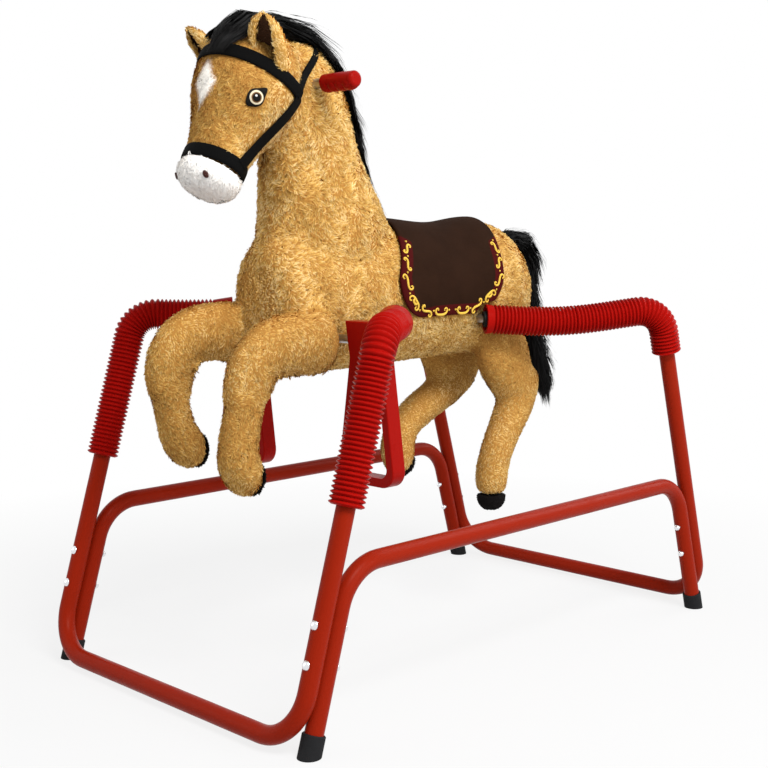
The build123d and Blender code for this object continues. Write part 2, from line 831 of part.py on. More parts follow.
# Bridle straps and eyes: flat trim that follows the head
bridle = {
    "nose_band": (-484, 860, -350, 786),
    "cheek_straps": (-386, 832, -306, 916),
    "brow_band": (-298, 922, -470, 1010),
    "crown_strap": (-312, 920, -230, 1010),
}
head_blank = head_form(strap_thick)
worn = [whole_head, whole_neck, whole_muzzle, mane, *ears.values()]
straps = []
for name, (y0, z0, y1, z1) in bridle.items():
    with BuildPart() as strap:
        add(head_blank)
        add(side_slab(y0, z0, y1, z1, strap_width), mode=Mode.INTERSECT)
        for other in worn + straps:
            add(other, mode=Mode.SUBTRACT)
    straps.append(strap.part)
    write(strap.part, name)

with BuildPart() as eyes:
    add(head_form(eye_thick))
    with BuildSketch(Plane(origin=(0, -eye_y, eye_z), z_dir=(1, 0, 0))):
        Circle(eye_r)
    extrude(amount=half_width, both=True, mode=Mode.INTERSECT)
    for other in [whole_head] + straps:
        add(other, mode=Mode.SUBTRACT)
write(eyes.part, "eyes")
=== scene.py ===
"""A plush spring horse, hung on ribbed spring covers in a red tube stand, in a pale studio."""

from math import cos, pi, radians, sin, tan

import bmesh
import bpy
import numpy as np
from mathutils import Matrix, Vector, kdtree
from mathutils.bvhtree import BVHTree
from numpy.linalg import norm


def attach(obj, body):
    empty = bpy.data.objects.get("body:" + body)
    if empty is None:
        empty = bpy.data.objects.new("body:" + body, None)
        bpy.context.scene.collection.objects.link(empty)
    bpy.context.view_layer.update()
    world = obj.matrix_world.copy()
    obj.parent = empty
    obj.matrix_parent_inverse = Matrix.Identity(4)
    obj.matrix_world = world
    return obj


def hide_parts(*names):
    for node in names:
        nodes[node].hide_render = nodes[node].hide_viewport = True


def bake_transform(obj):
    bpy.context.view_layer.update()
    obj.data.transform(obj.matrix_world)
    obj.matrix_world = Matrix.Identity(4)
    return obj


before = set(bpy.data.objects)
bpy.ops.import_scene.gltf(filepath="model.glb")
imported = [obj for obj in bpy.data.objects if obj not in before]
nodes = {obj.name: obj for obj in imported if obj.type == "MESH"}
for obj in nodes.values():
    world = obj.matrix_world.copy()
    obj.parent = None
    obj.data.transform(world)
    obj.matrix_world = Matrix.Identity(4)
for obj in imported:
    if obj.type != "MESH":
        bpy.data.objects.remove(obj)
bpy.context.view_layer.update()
scene = bpy.context.scene

# The picture is taken from in front of the horse's left shoulder, a little above its back.
# A long lens keeps the stand's posts close to upright.
camera = bpy.data.objects.new("camera", bpy.data.cameras.new("camera"))
camera_dip, camera_turn = radians(6.532), radians(44.391)
focal_px, picture_px = 1265.24, 768
camera.location = (1.53623, -1.61662, 0.70492)
camera.rotation_euler = (pi / 2 - camera_dip, 0, camera_turn)
camera.data.sensor_width = 36
camera.data.lens = camera.data.sensor_width * focal_px / picture_px
scene.collection.objects.link(camera)
scene.camera = camera

# The studio is a white floor that runs out to a white backdrop, under four large soft lamps and a small one.
# The floor shows white to the camera and still takes the stand's soft shadow.
scene.view_settings.view_transform = "Standard"
white = (1, 1, 1, 1)


def set_inputs(node, values):
    """Put constants on a node's own sockets."""
    for label, value in values.items():
        node.inputs[label].default_value = value


def add_node(tree, kind, values=None):
    """A new node in a tree, with constants on its own sockets."""
    node = tree.nodes.new(kind)
    set_inputs(node, values or {})
    return node


def wire(tree, *joins):
    """Join sockets, each join given as a node and its output, then a node and its input."""
    for source, output, target, entry in joins:
        tree.links.new(source.outputs[output], target.inputs[entry])


def seen_directly(tree):
    """A mask that is 1 for rays that show a surface in the picture, straight or by reflection."""
    path = tree.nodes.new("ShaderNodeLightPath")
    total = None
    for ray in ("Is Camera Ray", "Is Glossy Ray", "Is Transmission Ray"):
        if total is None:
            total = path.outputs[ray]
            continue
        add = tree.nodes.new("ShaderNodeMath")
        add.operation = "MAXIMUM"
        tree.links.new(total, add.inputs[0])
        tree.links.new(path.outputs[ray], add.inputs[1])
        total = add.outputs[0]
    return total


world = bpy.data.worlds.new("studio")
world.use_nodes = True
scene.world = world
sky = world.node_tree
ambient = sky.nodes["Background"]
set_inputs(ambient, {"Color": white, "Strength": 0.32})
backdrop = add_node(sky, "ShaderNodeBackground", {"Color": white})
chooser = add_node(sky, "ShaderNodeMixShader")
sky.links.new(seen_directly(sky), chooser.inputs[0])
wire(
    sky,
    (ambient, 0, chooser, 1),
    (backdrop, 0, chooser, 2),
    (chooser, 0, sky.nodes["World Output"], "Surface"),
)

for name, place, size, power in (
    ("key_lamp", (2.4, -0.75, 2.9), 1.2, 92),
    ("side_lamp", (2.7, 0.4, 1.1), 1.6, 26),
    ("fill_lamp", (-1.4, -2.7, 1.8), 2.4, 22),
    ("back_lamp", (0.9, 2.8, 2.3), 2.0, 34),
    ("glint_lamp", (2.3, -1.5, 3.0), 0.35, 16),
):
    lamp = bpy.data.objects.new(name, bpy.data.lights.new(name, "AREA"))
    lamp.data.size = size
    lamp.data.energy = power
    lamp.location = place
    lamp.rotation_euler = (Vector((0, 0, 0.5)) - lamp.location).to_track_quat("-Z", "Y").to_euler()
    scene.collection.objects.link(lamp)


def new_material(name):
    """A material with its node tree and its shader."""
    made = bpy.data.materials.new(name)
    made.use_nodes = True
    return made, made.node_tree, made.node_tree.nodes["Principled BSDF"]


def new_piece(name, points, faces, materials, indices=None, smooth=True):
    """A mesh object from arrays of points and of faces that all have as many corners."""
    points, faces = np.asarray(points, np.float32), np.asarray(faces, np.int32)
    mesh = bpy.data.meshes.new(name)
    mesh.vertices.add(len(points))
    mesh.vertices.foreach_set("co", points.ravel())
    mesh.loops.add(faces.size)
    mesh.loops.foreach_set("vertex_index", faces.ravel())
    mesh.polygons.add(len(faces))
    mesh.polygons.foreach_set("loop_start", np.arange(0, faces.size, faces.shape[1], dtype=np.int32))
    mesh.polygons.foreach_set("use_smooth", np.full(len(faces), smooth))
    for material in materials:
        mesh.materials.append(material)
    if indices is not None:
        mesh.polygons.foreach_set("material_index", np.asarray(indices, np.int32))
    mesh.update(calc_edges=True)
    mesh.validate()
    piece = bpy.data.objects.new(name, mesh)
    scene.collection.objects.link(piece)
    return piece


floor_white, tree, shader = new_material("floor_white")
set_inputs(shader, {"Base Color": (0.66, 0.66, 0.66, 1), "Roughness": 0.9, "Specular IOR Level": 0.1})
glow = add_node(tree, "ShaderNodeEmission", {"Color": white})
spot, far = add_node(tree, "ShaderNodeTexCoord"), add_node(tree, "ShaderNodeVectorMath")
far.operation = "LENGTH"
fade = add_node(tree, "ShaderNodeMapRange", {"From Min": 0.7, "From Max": 1.6, "To Min": 0.82})
shown, chooser = add_node(tree, "ShaderNodeMath"), add_node(tree, "ShaderNodeMixShader")
shown.operation = "MULTIPLY"
tree.links.new(seen_directly(tree), shown.inputs[0])
wire(
    tree,
    (spot, "Object", far, 0),
    (far, "Value", fade, "Value"),
    (fade, "Result", shown, 1),
    (shown, 0, chooser, 0),
    (shader, 0, chooser, 1),
    (glow, 0, chooser, 2),
    (chooser, 0, tree.nodes["Material Output"], "Surface"),
)
reach = 9.0
corners = [(-reach, -reach, 0), (reach, -reach, 0), (reach, reach, 0), (-reach, reach, 0)]
new_piece("floor", corners, [(0, 1, 2, 3)], [floor_white], smooth=False)

# The stand is two U-shaped end frames bolted to two arched side rails, all bent from steel tube.
# The tube is sprayed with an orange-red enamel that is glossy and a little uneven.
gloss = bpy.data.node_groups.new("handled_gloss", "ShaderNodeTree")
for label, default in (("Scale", 40.0), ("Low", 0.2), ("High", 0.4)):
    gloss.interface.new_socket(label, in_out="INPUT", socket_type="NodeSocketFloat").default_value = default
for label in ("Roughness", "Height"):
    gloss.interface.new_socket(label, in_out="OUTPUT", socket_type="NodeSocketFloat")
entry, leaving = gloss.nodes.new("NodeGroupInput"), gloss.nodes.new("NodeGroupOutput")
place = add_node(gloss, "ShaderNodeTexCoord")
smears = add_node(gloss, "ShaderNodeTexNoise", {"Detail": 5})
peel = add_node(gloss, "ShaderNodeTexNoise", {"Scale": 420})
spread = add_node(gloss, "ShaderNodeMapRange", {"From Min": 0.3, "From Max": 0.7})
wire(
    gloss,
    (place, "Object", smears, "Vector"),
    (place, "Object", peel, "Vector"),
    (entry, "Scale", smears, "Scale"),
    (smears, "Fac", spread, "Value"),
    (entry, "Low", spread, "To Min"),
    (entry, "High", spread, "To Max"),
    (spread, "Result", leaving, "Roughness"),
    (peel, "Fac", leaving, "Height"),
)


def add_group(tree, group, values):
    """A node group's node in a tree, with its own values."""
    node = tree.nodes.new("ShaderNodeGroup")
    node.node_tree = group
    set_inputs(node, values)
    return node


def glossy(name, colour, scale, low, high, bump, metallic=0.0, shine=0.07, glare=(1, 1, 1)):
    """A hard surface with smears in its gloss and a fine ripple."""
    made, tree, shader = new_material(name)
    set_inputs(shader, {"Base Color": (*colour, 1), "Metallic": metallic})
    set_inputs(shader, {"Specular IOR Level": shine, "Specular Tint": (*glare, 1)})
    worn = add_group(tree, gloss, {"Scale": scale, "Low": low, "High": high})
    ripple = add_node(tree, "ShaderNodeBump", {"Strength": bump, "Distance": 0.0006})
    wire(
        tree,
        (worn, "Roughness", shader, "Roughness"),
        (worn, "Height", ripple, "Height"),
        (ripple, "Normal", shader, "Normal"),
    )
    return made


def dress(material, *names):
    """Give carried-over nodes their finish."""
    for name in names:
        nodes[name].data.materials.clear()
        nodes[name].data.materials.append(material)


enamel = glossy("orange_red_enamel", (0.268, 0.0140, 0.0035), 30, 0.24, 0.42, 0.12, glare=(1, 0.55, 0.45))
dress(enamel, "front_end_frame", "rear_end_frame", "left_side_rail", "right_side_rail")

# The feet are moulded black rubber cups pushed on to the rail legs.
# Their rims and soles are dusty, so they are dull and slightly grey.
posts = (("front_left", -1, 1), ("front_right", -1, -1), ("rear_left", 1, 1), ("rear_right", 1, -1))
rubber = glossy("foot_rubber", (0.016, 0.016, 0.017), 90, 0.6, 0.85, 0.35)
dress(rubber, *[f"{post}_foot" for post, _, _ in posts])

# Round-headed carriage bolts with dome nuts hold the posts against the rail legs.
# They are plated and bright.
plating = glossy("bright_plating", (0.80, 0.80, 0.82), 160, 0.08, 0.22, 0.05, metallic=1.0)
dress(plating, "frame_bolts", "frame_dome_nuts")

# Each spring is a close coil of drawn wire from a hook in the post's top to a block on the horse's bar.
# It is drawn again here as one swept wire.
steel = glossy("drawn_wire", (0.52, 0.52, 0.54), 220, 0.25, 0.45, 0.1, metallic=1.0)
zinc = glossy("zinc_plate", (0.60, 0.60, 0.62), 120, 0.3, 0.5, 0.1, metallic=1.0)
block_black = glossy("block_plastic", (0.02, 0.02, 0.02), 80, 0.4, 0.6, 0.15)
dress(steel, *[f"{post}_spring_hook" for post, _, _ in posts])
dress(zinc, "front_spring_bar", "rear_spring_bar", "stirrup_bar", "handle_rod")
dress(block_black, "front_spring_blocks", "rear_spring_blocks", "stirrup_bar_caps")

lean = radians(16.6)
post_x, post_foot_y, spring_height = 0.300, 0.52964, 0.578
bar_y, bar_z, bar_half, block_half = 0.112, 0.565, 0.108, 0.013
bend_r, hook_tip = 0.048, 0.006


def upward(end):
    """The way up a leaning post, at the front (-1) or the rear (1)."""
    return np.array((0, -end * sin(lean), cos(lean)))


def spring_run(side, end):
    """The corner of a spring's line over its post, the middle of its block, and the way between."""
    corner = np.array((side * post_x, end * post_foot_y, 0)) + upward(end) * spring_height / cos(lean)
    block = np.array((side * bar_half, end * bar_y, bar_z))
    way = (block - corner) / norm(block - corner)
    return corner, block, way


def bend_take_up(end, way):
    """How much of each straight run the bend over a post takes."""
    return bend_r * tan(np.arccos(np.dot(upward(end), way)) / 2)


def square_to(way, out):
    """A way turned square to another, as a unit vector."""
    way = way - out * np.dot(way, out)
    return way / norm(way)


def tube_faces(rings, around, closed=False):
    """Faces between rings of points, and from the last ring to the first in a closed loop."""
    rows = rings if closed else rings - 1
    base = np.arange(rows * around).reshape(rows, around)
    turn = np.roll(base, -1, axis=1)
    return np.stack((base, turn, turn + around, base + around), axis=-1).reshape(-1, 4) % (rings * around)


def swept(path, radii, around, first_side):
    """Rings of points about a path, turned as little as possible from one to the next, and their faces."""
    path = np.asarray(path, float)
    ways = np.gradient(path, axis=0)
    ways /= norm(ways, axis=1)[:, None]
    across = np.asarray(first_side, float)
    angles = np.linspace(0, 2 * pi, around, endpoint=False)
    rings = []
    for middle, way, radius in zip(path, ways, radii):
        across = square_to(across, way)
        other = np.cross(way, across)
        rings.append(middle + radius * (np.outer(np.cos(angles), across) + np.outer(np.sin(angles), other)))
    return np.concatenate(rings), tube_faces(len(path), around)


wire_r, wire_sides, coil_r, coil_turns, turn_steps, front_bow = 0.002, 8, 0.0125, 25, 20, 0.006
lead_rate, lead_power = 18, 0.6
for post, end, side in posts:
    corner, block, way = spring_run(side, end)
    start = corner + way * (bend_take_up(end, way) + hook_tip)
    finish = block - way * block_half
    length = norm(finish - start)
    across = np.cross(upward(end), way)
    across /= norm(across)
    other = np.cross(way, across)
    turns = np.linspace(0, 1, coil_turns * turn_steps + 1)
    lead = np.clip(np.minimum(turns, 1 - turns) * lead_rate, 0, 1) ** lead_power
    angle = 2 * pi * coil_turns * turns
    path = start + np.outer(wire_r * 2 + turns * (length - wire_r * 4), way)
    path += (coil_r * lead)[:, None] * (np.outer(np.cos(angle), across) + np.outer(np.sin(angle), other))
    path[:, 2] += front_bow * (end < 0) * np.sin(pi * turns)
    path = np.concatenate(([start], path, [finish]))
    halves = [("", path)]
    if end > 0:
        middle = len(path) // 2
        halves = [("_outer", path[: middle + 1]), ("_inner", path[middle:])]
    for half, points in halves:
        tube = swept(points, np.full(len(points), wire_r), wire_sides, other)
        piece = new_piece(f"coil_{post}{half}", *tube, [steel])
        span = (points[0], points[-1]) if end > 0 else (corner, block)
        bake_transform(piece)
        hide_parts(f"{post}_spring")

# The covers are loose ribbed hoses of glossy red plastic, slid over the springs to keep fingers out.
# The front pair has slipped down its posts, and the rear pair reaches the horse's flanks.
# Each ends in a smooth cuff at the horse.
cover_red = glossy("cover_red", (0.335, 0.0048, 0.0030), 60, 0.24, 0.38, 0.08, shine=0.035, glare=(1, 0.40, 0.35))
cover_r, cover_root_r, cover_bore_r, ribs, rings_per_rib, around = 0.0262, 0.0214, 0.0205, 58, 8, 40
front_drop, front_reach, rear_drop, rear_lap, rear_sag = 0.250, 0.170, 0.080, 0.023, 0.010
cuff_ribs, cuff_root_r, cuff_r, bore_step = {-1: 5, 1: 2}, 0.0245, {-1: 0.0285, 1: 0.0262}, 4


def lengths_along(rows):
    """How far along a line each of its points is."""
    return np.concatenate(([0], np.cumsum(norm(np.diff(rows, axis=0), axis=1))))


def rows_at(spots, lengths, rows):
    """Points at lengths along a line."""
    return np.stack([np.interp(spots, lengths, rows[:, axis]) for axis in range(3)], axis=1)


def hose_path(end, side, drop, reach, sag, count):
    """Evenly spaced points down the middle of a cover: up the post, round the bend and along the spring."""
    corner, block, way = spring_run(side, end)
    take_up = bend_take_up(end, way)
    up = upward(end)
    inward = (way - up) / norm(way - up)
    half_turn = np.arccos(np.dot(up, way)) / 2
    hub = corner + inward * bend_r / cos(half_turn)
    start = hub + np.cross(np.cross(up, way), up) / norm(np.cross(up, way)) * -bend_r
    spoke, square = (start - hub) / bend_r, up
    turn = np.linspace(0, 2 * half_turn, 24)
    bend = hub + bend_r * (np.outer(np.cos(turn), spoke) + np.outer(np.sin(turn), square))
    along = np.linspace(take_up, reach, 40)[1:]
    run = corner + np.outer(along, way)
    share = (along - take_up) / (reach - take_up)
    run[:, 2] -= sag * np.sin(pi * np.clip(share, 0, 1)) ** 1.2
    run[:, 2] += front_bow * (end < 0) * np.clip(share, 0, 1) ** 2
    rough = np.concatenate(([corner - up * drop], bend, run))
    lengths = lengths_along(rough)
    return rows_at(np.linspace(0, lengths[-1], count), lengths, rough)


for post, end, side in posts:
    corner, block, way = spring_run(side, end)
    full = norm(block - corner) - block_half + rear_lap
    drop, reach, sag = (front_drop, front_reach, 0.0) if end < 0 else (rear_drop, full, rear_sag)
    path = hose_path(end, side, drop, reach, sag, ribs * rings_per_rib + 1)
    swell = (0.5 - 0.5 * np.cos(2 * pi * np.arange(len(path)) / rings_per_rib)) ** 0.6
    radii = cover_root_r + (cover_r - cover_root_r) * swell
    cuff = np.linspace(0, 1, cuff_ribs[end] * rings_per_rib)
    radii[-len(cuff) :] = cuff_root_r + (cuff_r[end] - cuff_root_r) * cuff**0.8
    across = np.cross(upward(end), way)
    cuts = [("", 0, len(path))]
    if end > 0:
        post_rings = int(np.argmin(norm(path - corner, axis=1)))
        middle = post_rings + (len(path) - post_rings) // 2
        middle -= middle % rings_per_rib
        cuts = [("_outer", 0, middle + 1), ("_inner", middle, len(path))]
    for half, first, last in cuts:
        outer, outer_faces = swept(path[first:last], radii[first:last], around, across)
        bore = path[first:last:bore_step]
        inner, inner_faces = swept(bore, np.full(len(bore), cover_bore_r), around, across)
        ring, turned = np.arange(around), np.roll(np.arange(around), -1)
        rims = [
            np.stack((ring + low, turned + low, turned + high, ring + high), axis=-1)
            for low, high in ((len(outer), 0), (len(outer) - around, len(outer) + len(inner) - around))
        ]
        faces = np.concatenate((outer_faces, inner_faces[:, ::-1] + len(outer), *rims))
        piece = new_piece(f"hose_{post}{half}", np.concatenate((outer, inner)), faces, [cover_red])
        if half == "_inner":
            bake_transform(piece)
        elif half == "_outer":
            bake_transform(piece)
        else:
            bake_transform(piece)
        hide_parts(f"{post}_spring_cover")

# The stirrups and hand grips are moulded in red plastic, with rounded edges and a fine moulded skin.
# The stirrups hang loose on the bar under the chest, and the grips are pushed on to the handle rod.
moulded_red = glossy("moulded_red", (0.290, 0.0050, 0.0030), 45, 0.24, 0.40, 0.2, glare=(1, 0.45, 0.40))
dress(moulded_red, "left_stirrup", "right_stirrup", "left_hand_grip", "right_hand_grip")

# Inside the horse a plywood spine board and a turned neck post carry the bars and the handle.
# They are plain wood with its grain along the length.
filling = ["spine_board", "front_bar_bracket", "rear_bar_bracket", "stirrup_bar_bracket", "neck_post"]
timber, tree, shader = new_material("plain_timber")
shader.inputs["Roughness"].default_value = 0.7
place = add_node(tree, "ShaderNodeTexCoord")
stretch = add_node(tree, "ShaderNodeMapping", {"Scale": (60, 4, 4)})
grain = add_node(tree, "ShaderNodeTexNoise", {"Scale": 1.5, "Detail": 6})
tone = add_node(tree, "ShaderNodeValToRGB")
tone.color_ramp.elements[0].color = (0.30, 0.17, 0.075, 1)
tone.color_ramp.elements[1].color = (0.62, 0.43, 0.24, 1)
wire(
    tree,
    (place, "Object", stretch, "Vector"),
    (stretch, "Vector", grain, "Vector"),
    (grain, "Fac", tone, "Fac"),
    (tone, "Color", shader, "Base Color"),
)
dress(timber, *filling)

# The horse's hide is curly tan plush over tight stuffing: barrel, neck, head and four legs sewn together.
# A backing fabric carries the pile, which is longest on the neck and short on the hind legs and belly.
# Each hair's colour runs along it from a dark root to a light cream end: the dark root is painted shade deep in the
# pile, where the hairs cast no shadows, and the cream end is a painted highlight.
tint = bpy.data.node_groups.new("pile_tint", "ShaderNodeTree")
for label in ("Root", "Middle", "End"):
    tint.interface.new_socket(label, in_out="INPUT", socket_type="NodeSocketColor")
tint.interface.new_socket("Color", in_out="OUTPUT", socket_type="NodeSocketColor")
entry, leaving = tint.nodes.new("NodeGroupInput"), tint.nodes.new("NodeGroupOutput")
along_hair, hair_shade, bleached = (add_node(tint, "ShaderNodeAttribute") for _ in range(3))
along_hair.attribute_name, hair_shade.attribute_name, bleached.attribute_name = "along", "shade", "pale"
low, high, paler = (add_node(tint, "ShaderNodeMix") for _ in range(3))
low.data_type = high.data_type = paler.data_type = "RGBA"
paler.inputs["B"].default_value = (0.93, 0.90, 0.85, 1)
sum_up = add_node(tint, "ShaderNodeMath")
sum_up.operation = "ADD"
lower = add_node(tint, "ShaderNodeMapRange", {"From Max": 0.55})
upper = add_node(tint, "ShaderNodeMapRange", {"From Min": 0.55})
wire(
    tint,
    (along_hair, "Fac", sum_up, 0),
    (hair_shade, "Fac", sum_up, 1),
    (sum_up, 0, lower, "Value"),
    (sum_up, 0, upper, "Value"),
    (lower, "Result", low, "Factor"),
    (upper, "Result", high, "Factor"),
    (entry, "Root", low, "A"),
    (entry, "Middle", low, "B"),
    (low, "Result", high, "A"),
    (entry, "End", high, "B"),
    (high, "Result", paler, "A"),
    (bleached, "Fac", paler, "Factor"),
    (paler, "Result", leaving, "Color"),
)


def hairy(name, root, middle, end, roughness=0.8, shine=0.12):
    """A pile or hair finish that runs from a dark root colour, painted shade, to a light end colour, a painted
    highlight.
    """
    made, tree, shader = new_material(name)
    set_inputs(shader, {"Roughness": roughness, "Specular IOR Level": shine})
    mix = add_group(tree, tint, {"Root": (*root, 1), "Middle": (*middle, 1), "End": (*end, 1)})
    wire(tree, (mix, "Color", shader, "Base Color"))
    return made


# In each finish the root colour is painted shade and the end colour a painted highlight.
tan_pile = hairy("tan_pile", (0.34, 0.140, 0.025), (0.66, 0.385, 0.092), (0.94, 0.74, 0.37))
white_pile = hairy("white_pile", (0.84, 0.77, 0.71), (0.95, 0.92, 0.88), (0.98, 0.97, 0.95))
black_pile = hairy("black_pile", (0.003, 0.0025, 0.0025), (0.006, 0.005, 0.005), (0.013, 0.012, 0.011), shine=0.04)
brown_pile = hairy("brown_pile", (0.03, 0.014, 0.008), (0.075, 0.034, 0.018), (0.14, 0.07, 0.04), shine=0.06)

hide_forms = ["body", "neck", "head", "front_left_leg", "front_right_leg", "hind_left_leg", "hind_right_leg"]
front_limbs, hind_limbs, seam_swell = (3, 4), (5, 6), 0.0012
broad_curl, fine_curl, fleck, tuft_size = 0.052, 0.021, 0.017, 9


def rows_of(mesh, label):
    """The places or the normals of a mesh's vertices."""
    values = np.empty(len(mesh.vertices) * 3, np.float32)
    mesh.vertices.foreach_get(label, values)
    return values.reshape(-1, 3)


def paint(mesh, label, values):
    """Give each vertex a value that a finish reads."""
    values = np.broadcast_to(values, len(mesh.vertices)).astype(np.float32)
    mesh.attributes.new(label, "FLOAT", "POINT").data.foreach_set("value", values)


def skin_of(name, forms, voxel, smoothing, inset):
    """One smooth closed skin round stuffed forms, drawn in by a depth of pile."""
    whole = bmesh.new()
    for form in forms:
        part = bmesh.new()
        part.from_mesh(nodes[form].data)
        bmesh.ops.remove_doubles(part, verts=part.verts, dist=1e-5)
        part.normal_update()
        for vertex in part.verts:
            vertex.co += vertex.normal * seam_swell
        grown = bpy.data.meshes.new("grown")
        part.to_mesh(grown)
        whole.from_mesh(grown)
        part.free()
        bpy.data.meshes.remove(grown)
    rough = bpy.data.meshes.new("rough")
    whole.to_mesh(rough)
    whole.free()
    block = bpy.data.objects.new("rough", rough)
    scene.collection.objects.link(block)
    remesh = block.modifiers.new("remesh", "REMESH")
    remesh.mode, remesh.voxel_size = "VOXEL", voxel
    soften = block.modifiers.new("soften", "SMOOTH")
    soften.iterations, soften.factor = smoothing, 0.5
    mesh = bpy.data.meshes.new_from_object(block.evaluated_get(bpy.context.evaluated_depsgraph_get()))
    bpy.data.objects.remove(block)
    bpy.data.meshes.remove(rough)
    drawn_in = rows_of(mesh, "co") - rows_of(mesh, "normal") * (inset + seam_swell)
    mesh.vertices.foreach_set("co", drawn_in.ravel())
    mesh.update()
    mesh.name = name
    mesh.polygons.foreach_set("use_smooth", np.ones(len(mesh.polygons), bool))
    return mesh


def waves(points, length, seed):
    """A smooth uneven field over points, about -1 to 1."""
    rng = np.random.default_rng(seed)
    ways = rng.normal(size=(6, 3))
    ways *= (2 * pi / length * rng.uniform(0.6, 1.5, 6) / norm(ways, axis=1))[:, None]
    return np.sin(points @ ways.T + rng.uniform(0, 2 * pi, 6)).sum(axis=1) / 3


def unit(rows):
    """Rows brought to a length of 1."""
    return rows / np.maximum(norm(rows, axis=1), 1e-9)[:, None]


def roots_on(mesh, density, seed):
    """Seeded points and normals spread over a skin, as many per square metre as each vertex asks for."""
    rng = np.random.default_rng(seed)
    mesh.calc_loop_triangles()
    corners = np.empty(len(mesh.loop_triangles) * 3, np.int32)
    mesh.loop_triangles.foreach_get("vertices", corners)
    corners = corners.reshape(-1, 3)
    points, normals = rows_of(mesh, "co"), rows_of(mesh, "normal")
    a, b, c = (points[corners[:, i]] for i in range(3))
    areas = norm(np.cross(b - a, c - a), axis=1) / 2
    wanted = areas * np.asarray(density)[corners].mean(axis=1)
    counts = np.floor(wanted + rng.random(len(wanted))).astype(int)
    chosen = np.repeat(np.arange(len(corners)), counts)
    side = np.sqrt(rng.random(len(chosen)))
    turn = rng.random(len(chosen))
    shares = np.stack((1 - side, side * (1 - turn), side * turn), axis=1)
    at = (points[corners[chosen]] * shares[:, :, None]).sum(axis=1)
    facing = unit((normals[corners[chosen]] * shares[:, :, None]).sum(axis=1))
    return at, facing, corners[chosen, 0]


def grow_pile(
    name, at, facing, combed, length, width, lift, curl, gather, shade, seed,
    finishes, indices=0, pale=0.0, relief=0.11,
):
    """A coat of short tapering tufts that lean the way they are combed and gather into curls."""
    rng = np.random.default_rng(seed)
    count = len(at)
    combed = np.asarray(combed, float)
    flat = unit(combed - facing * (combed * facing).sum(axis=1)[:, None])
    across = np.cross(facing, flat)
    swirl = curl * (waves(at, broad_curl, seed) + 0.5 * waves(at, fine_curl, seed + 1))
    swirl += rng.normal(0, 0.3, count)
    way = flat * np.cos(swirl)[:, None] + across * np.sin(swirl)[:, None]
    rise = lift + rng.normal(0, 0.16, count)
    reach = length * rng.uniform(0.75, 1.25, count)
    first = facing * np.sin(rise)[:, None] + way * np.cos(rise)[:, None]
    hook = curl * rng.normal(0.5, 0.5, count)
    bent = way * np.cos(hook)[:, None] + np.cross(facing, way) * np.sin(hook)[:, None]
    last = unit(bent + facing * (0.35 * np.sin(rise))[:, None])
    low = at - facing * 0.001
    mid = low + first * (0.55 * reach)[:, None]
    end = mid + last * (0.5 * reach)[:, None]
    leaders = np.arange(0, count, tuft_size)
    tree = kdtree.KDTree(len(leaders))
    for number, leader in enumerate(leaders):
        tree.insert(at[leader], number)
    tree.balance()
    nearest = leaders[[tree.find(point)[1] for point in at]]
    pull = gather * rng.uniform(0.5, 1.0, count)[:, None]
    end = end * (1 - pull) + (end[nearest] * 0.7 + (mid[nearest] + last[nearest] * 0.006) * 0.3) * pull
    mid = mid * (1 - pull * 0.3) + mid[nearest] * (pull * 0.3)
    sideways = unit(np.cross(first, facing) + rng.normal(0, 0.25, (count, 3)))
    wide = (width * rng.uniform(0.7, 1.2, count))[:, None] / 2
    ends = (low - sideways * wide, low + sideways * wide, mid - sideways * wide, mid + sideways * wide, end)
    points = np.stack(ends, axis=1)
    lit = unit(facing + 0.35 * way + rng.normal(0, 0.2, (count, 3)))
    blade = np.array(((0, 1, 3), (0, 3, 2), (2, 3, 4)))
    spans = points[:, blade]
    outward = np.cross(spans[:, :, 1] - spans[:, :, 0], spans[:, :, 2] - spans[:, :, 0])
    turned = (outward * lit[:, None]).sum(axis=2) < 0
    faces = np.arange(count)[:, None, None] * len(ends) + blade
    faces[turned] = faces[turned][:, (0, 2, 1)]
    kinds = np.repeat(np.broadcast_to(indices, count), len(blade))
    piece = new_piece(name, points.reshape(-1, 3), faces.reshape(-1, 3), finishes, kinds)
    piece.data.normals_split_custom_set_from_vertices(np.repeat(lit, len(ends), axis=0).tolist())
    piece.visible_shadow = False
    tone = shade + relief * waves(at, fleck, seed + 3) + rng.normal(0, 0.06, count)
    # Each tuft is painted darker at its root, painted shade, and lighter at its tip, a painted highlight.
    paint(piece.data, "along", np.tile((0.0, 0.0, 0.45, 0.45, 0.85), count))
    paint(piece.data, "shade", np.repeat(tone, len(ends)))
    paint(piece.data, "pale", np.repeat(np.broadcast_to(pale, count), len(ends)))
    return piece


def bare_skin(name, mesh, material, **values):
    """The backing fabric under a pile, tinted as the painted shade at the roots of its hair."""
    mesh.materials.clear()
    mesh.materials.append(material)
    for label, value in values.items():
        paint(mesh, label, value)
    piece = bpy.data.objects.new(name, mesh)
    scene.collection.objects.link(piece)
    return piece


def tree_of(mesh):
    """A search tree over a mesh."""
    return BVHTree.FromPolygons([v.co for v in mesh.vertices], [tuple(p.vertices) for p in mesh.polygons])


def ramp(value, start, span):
    """How far a value is into a span, from 0 to 1."""
    return np.clip((value - start) / span, 0, 1)


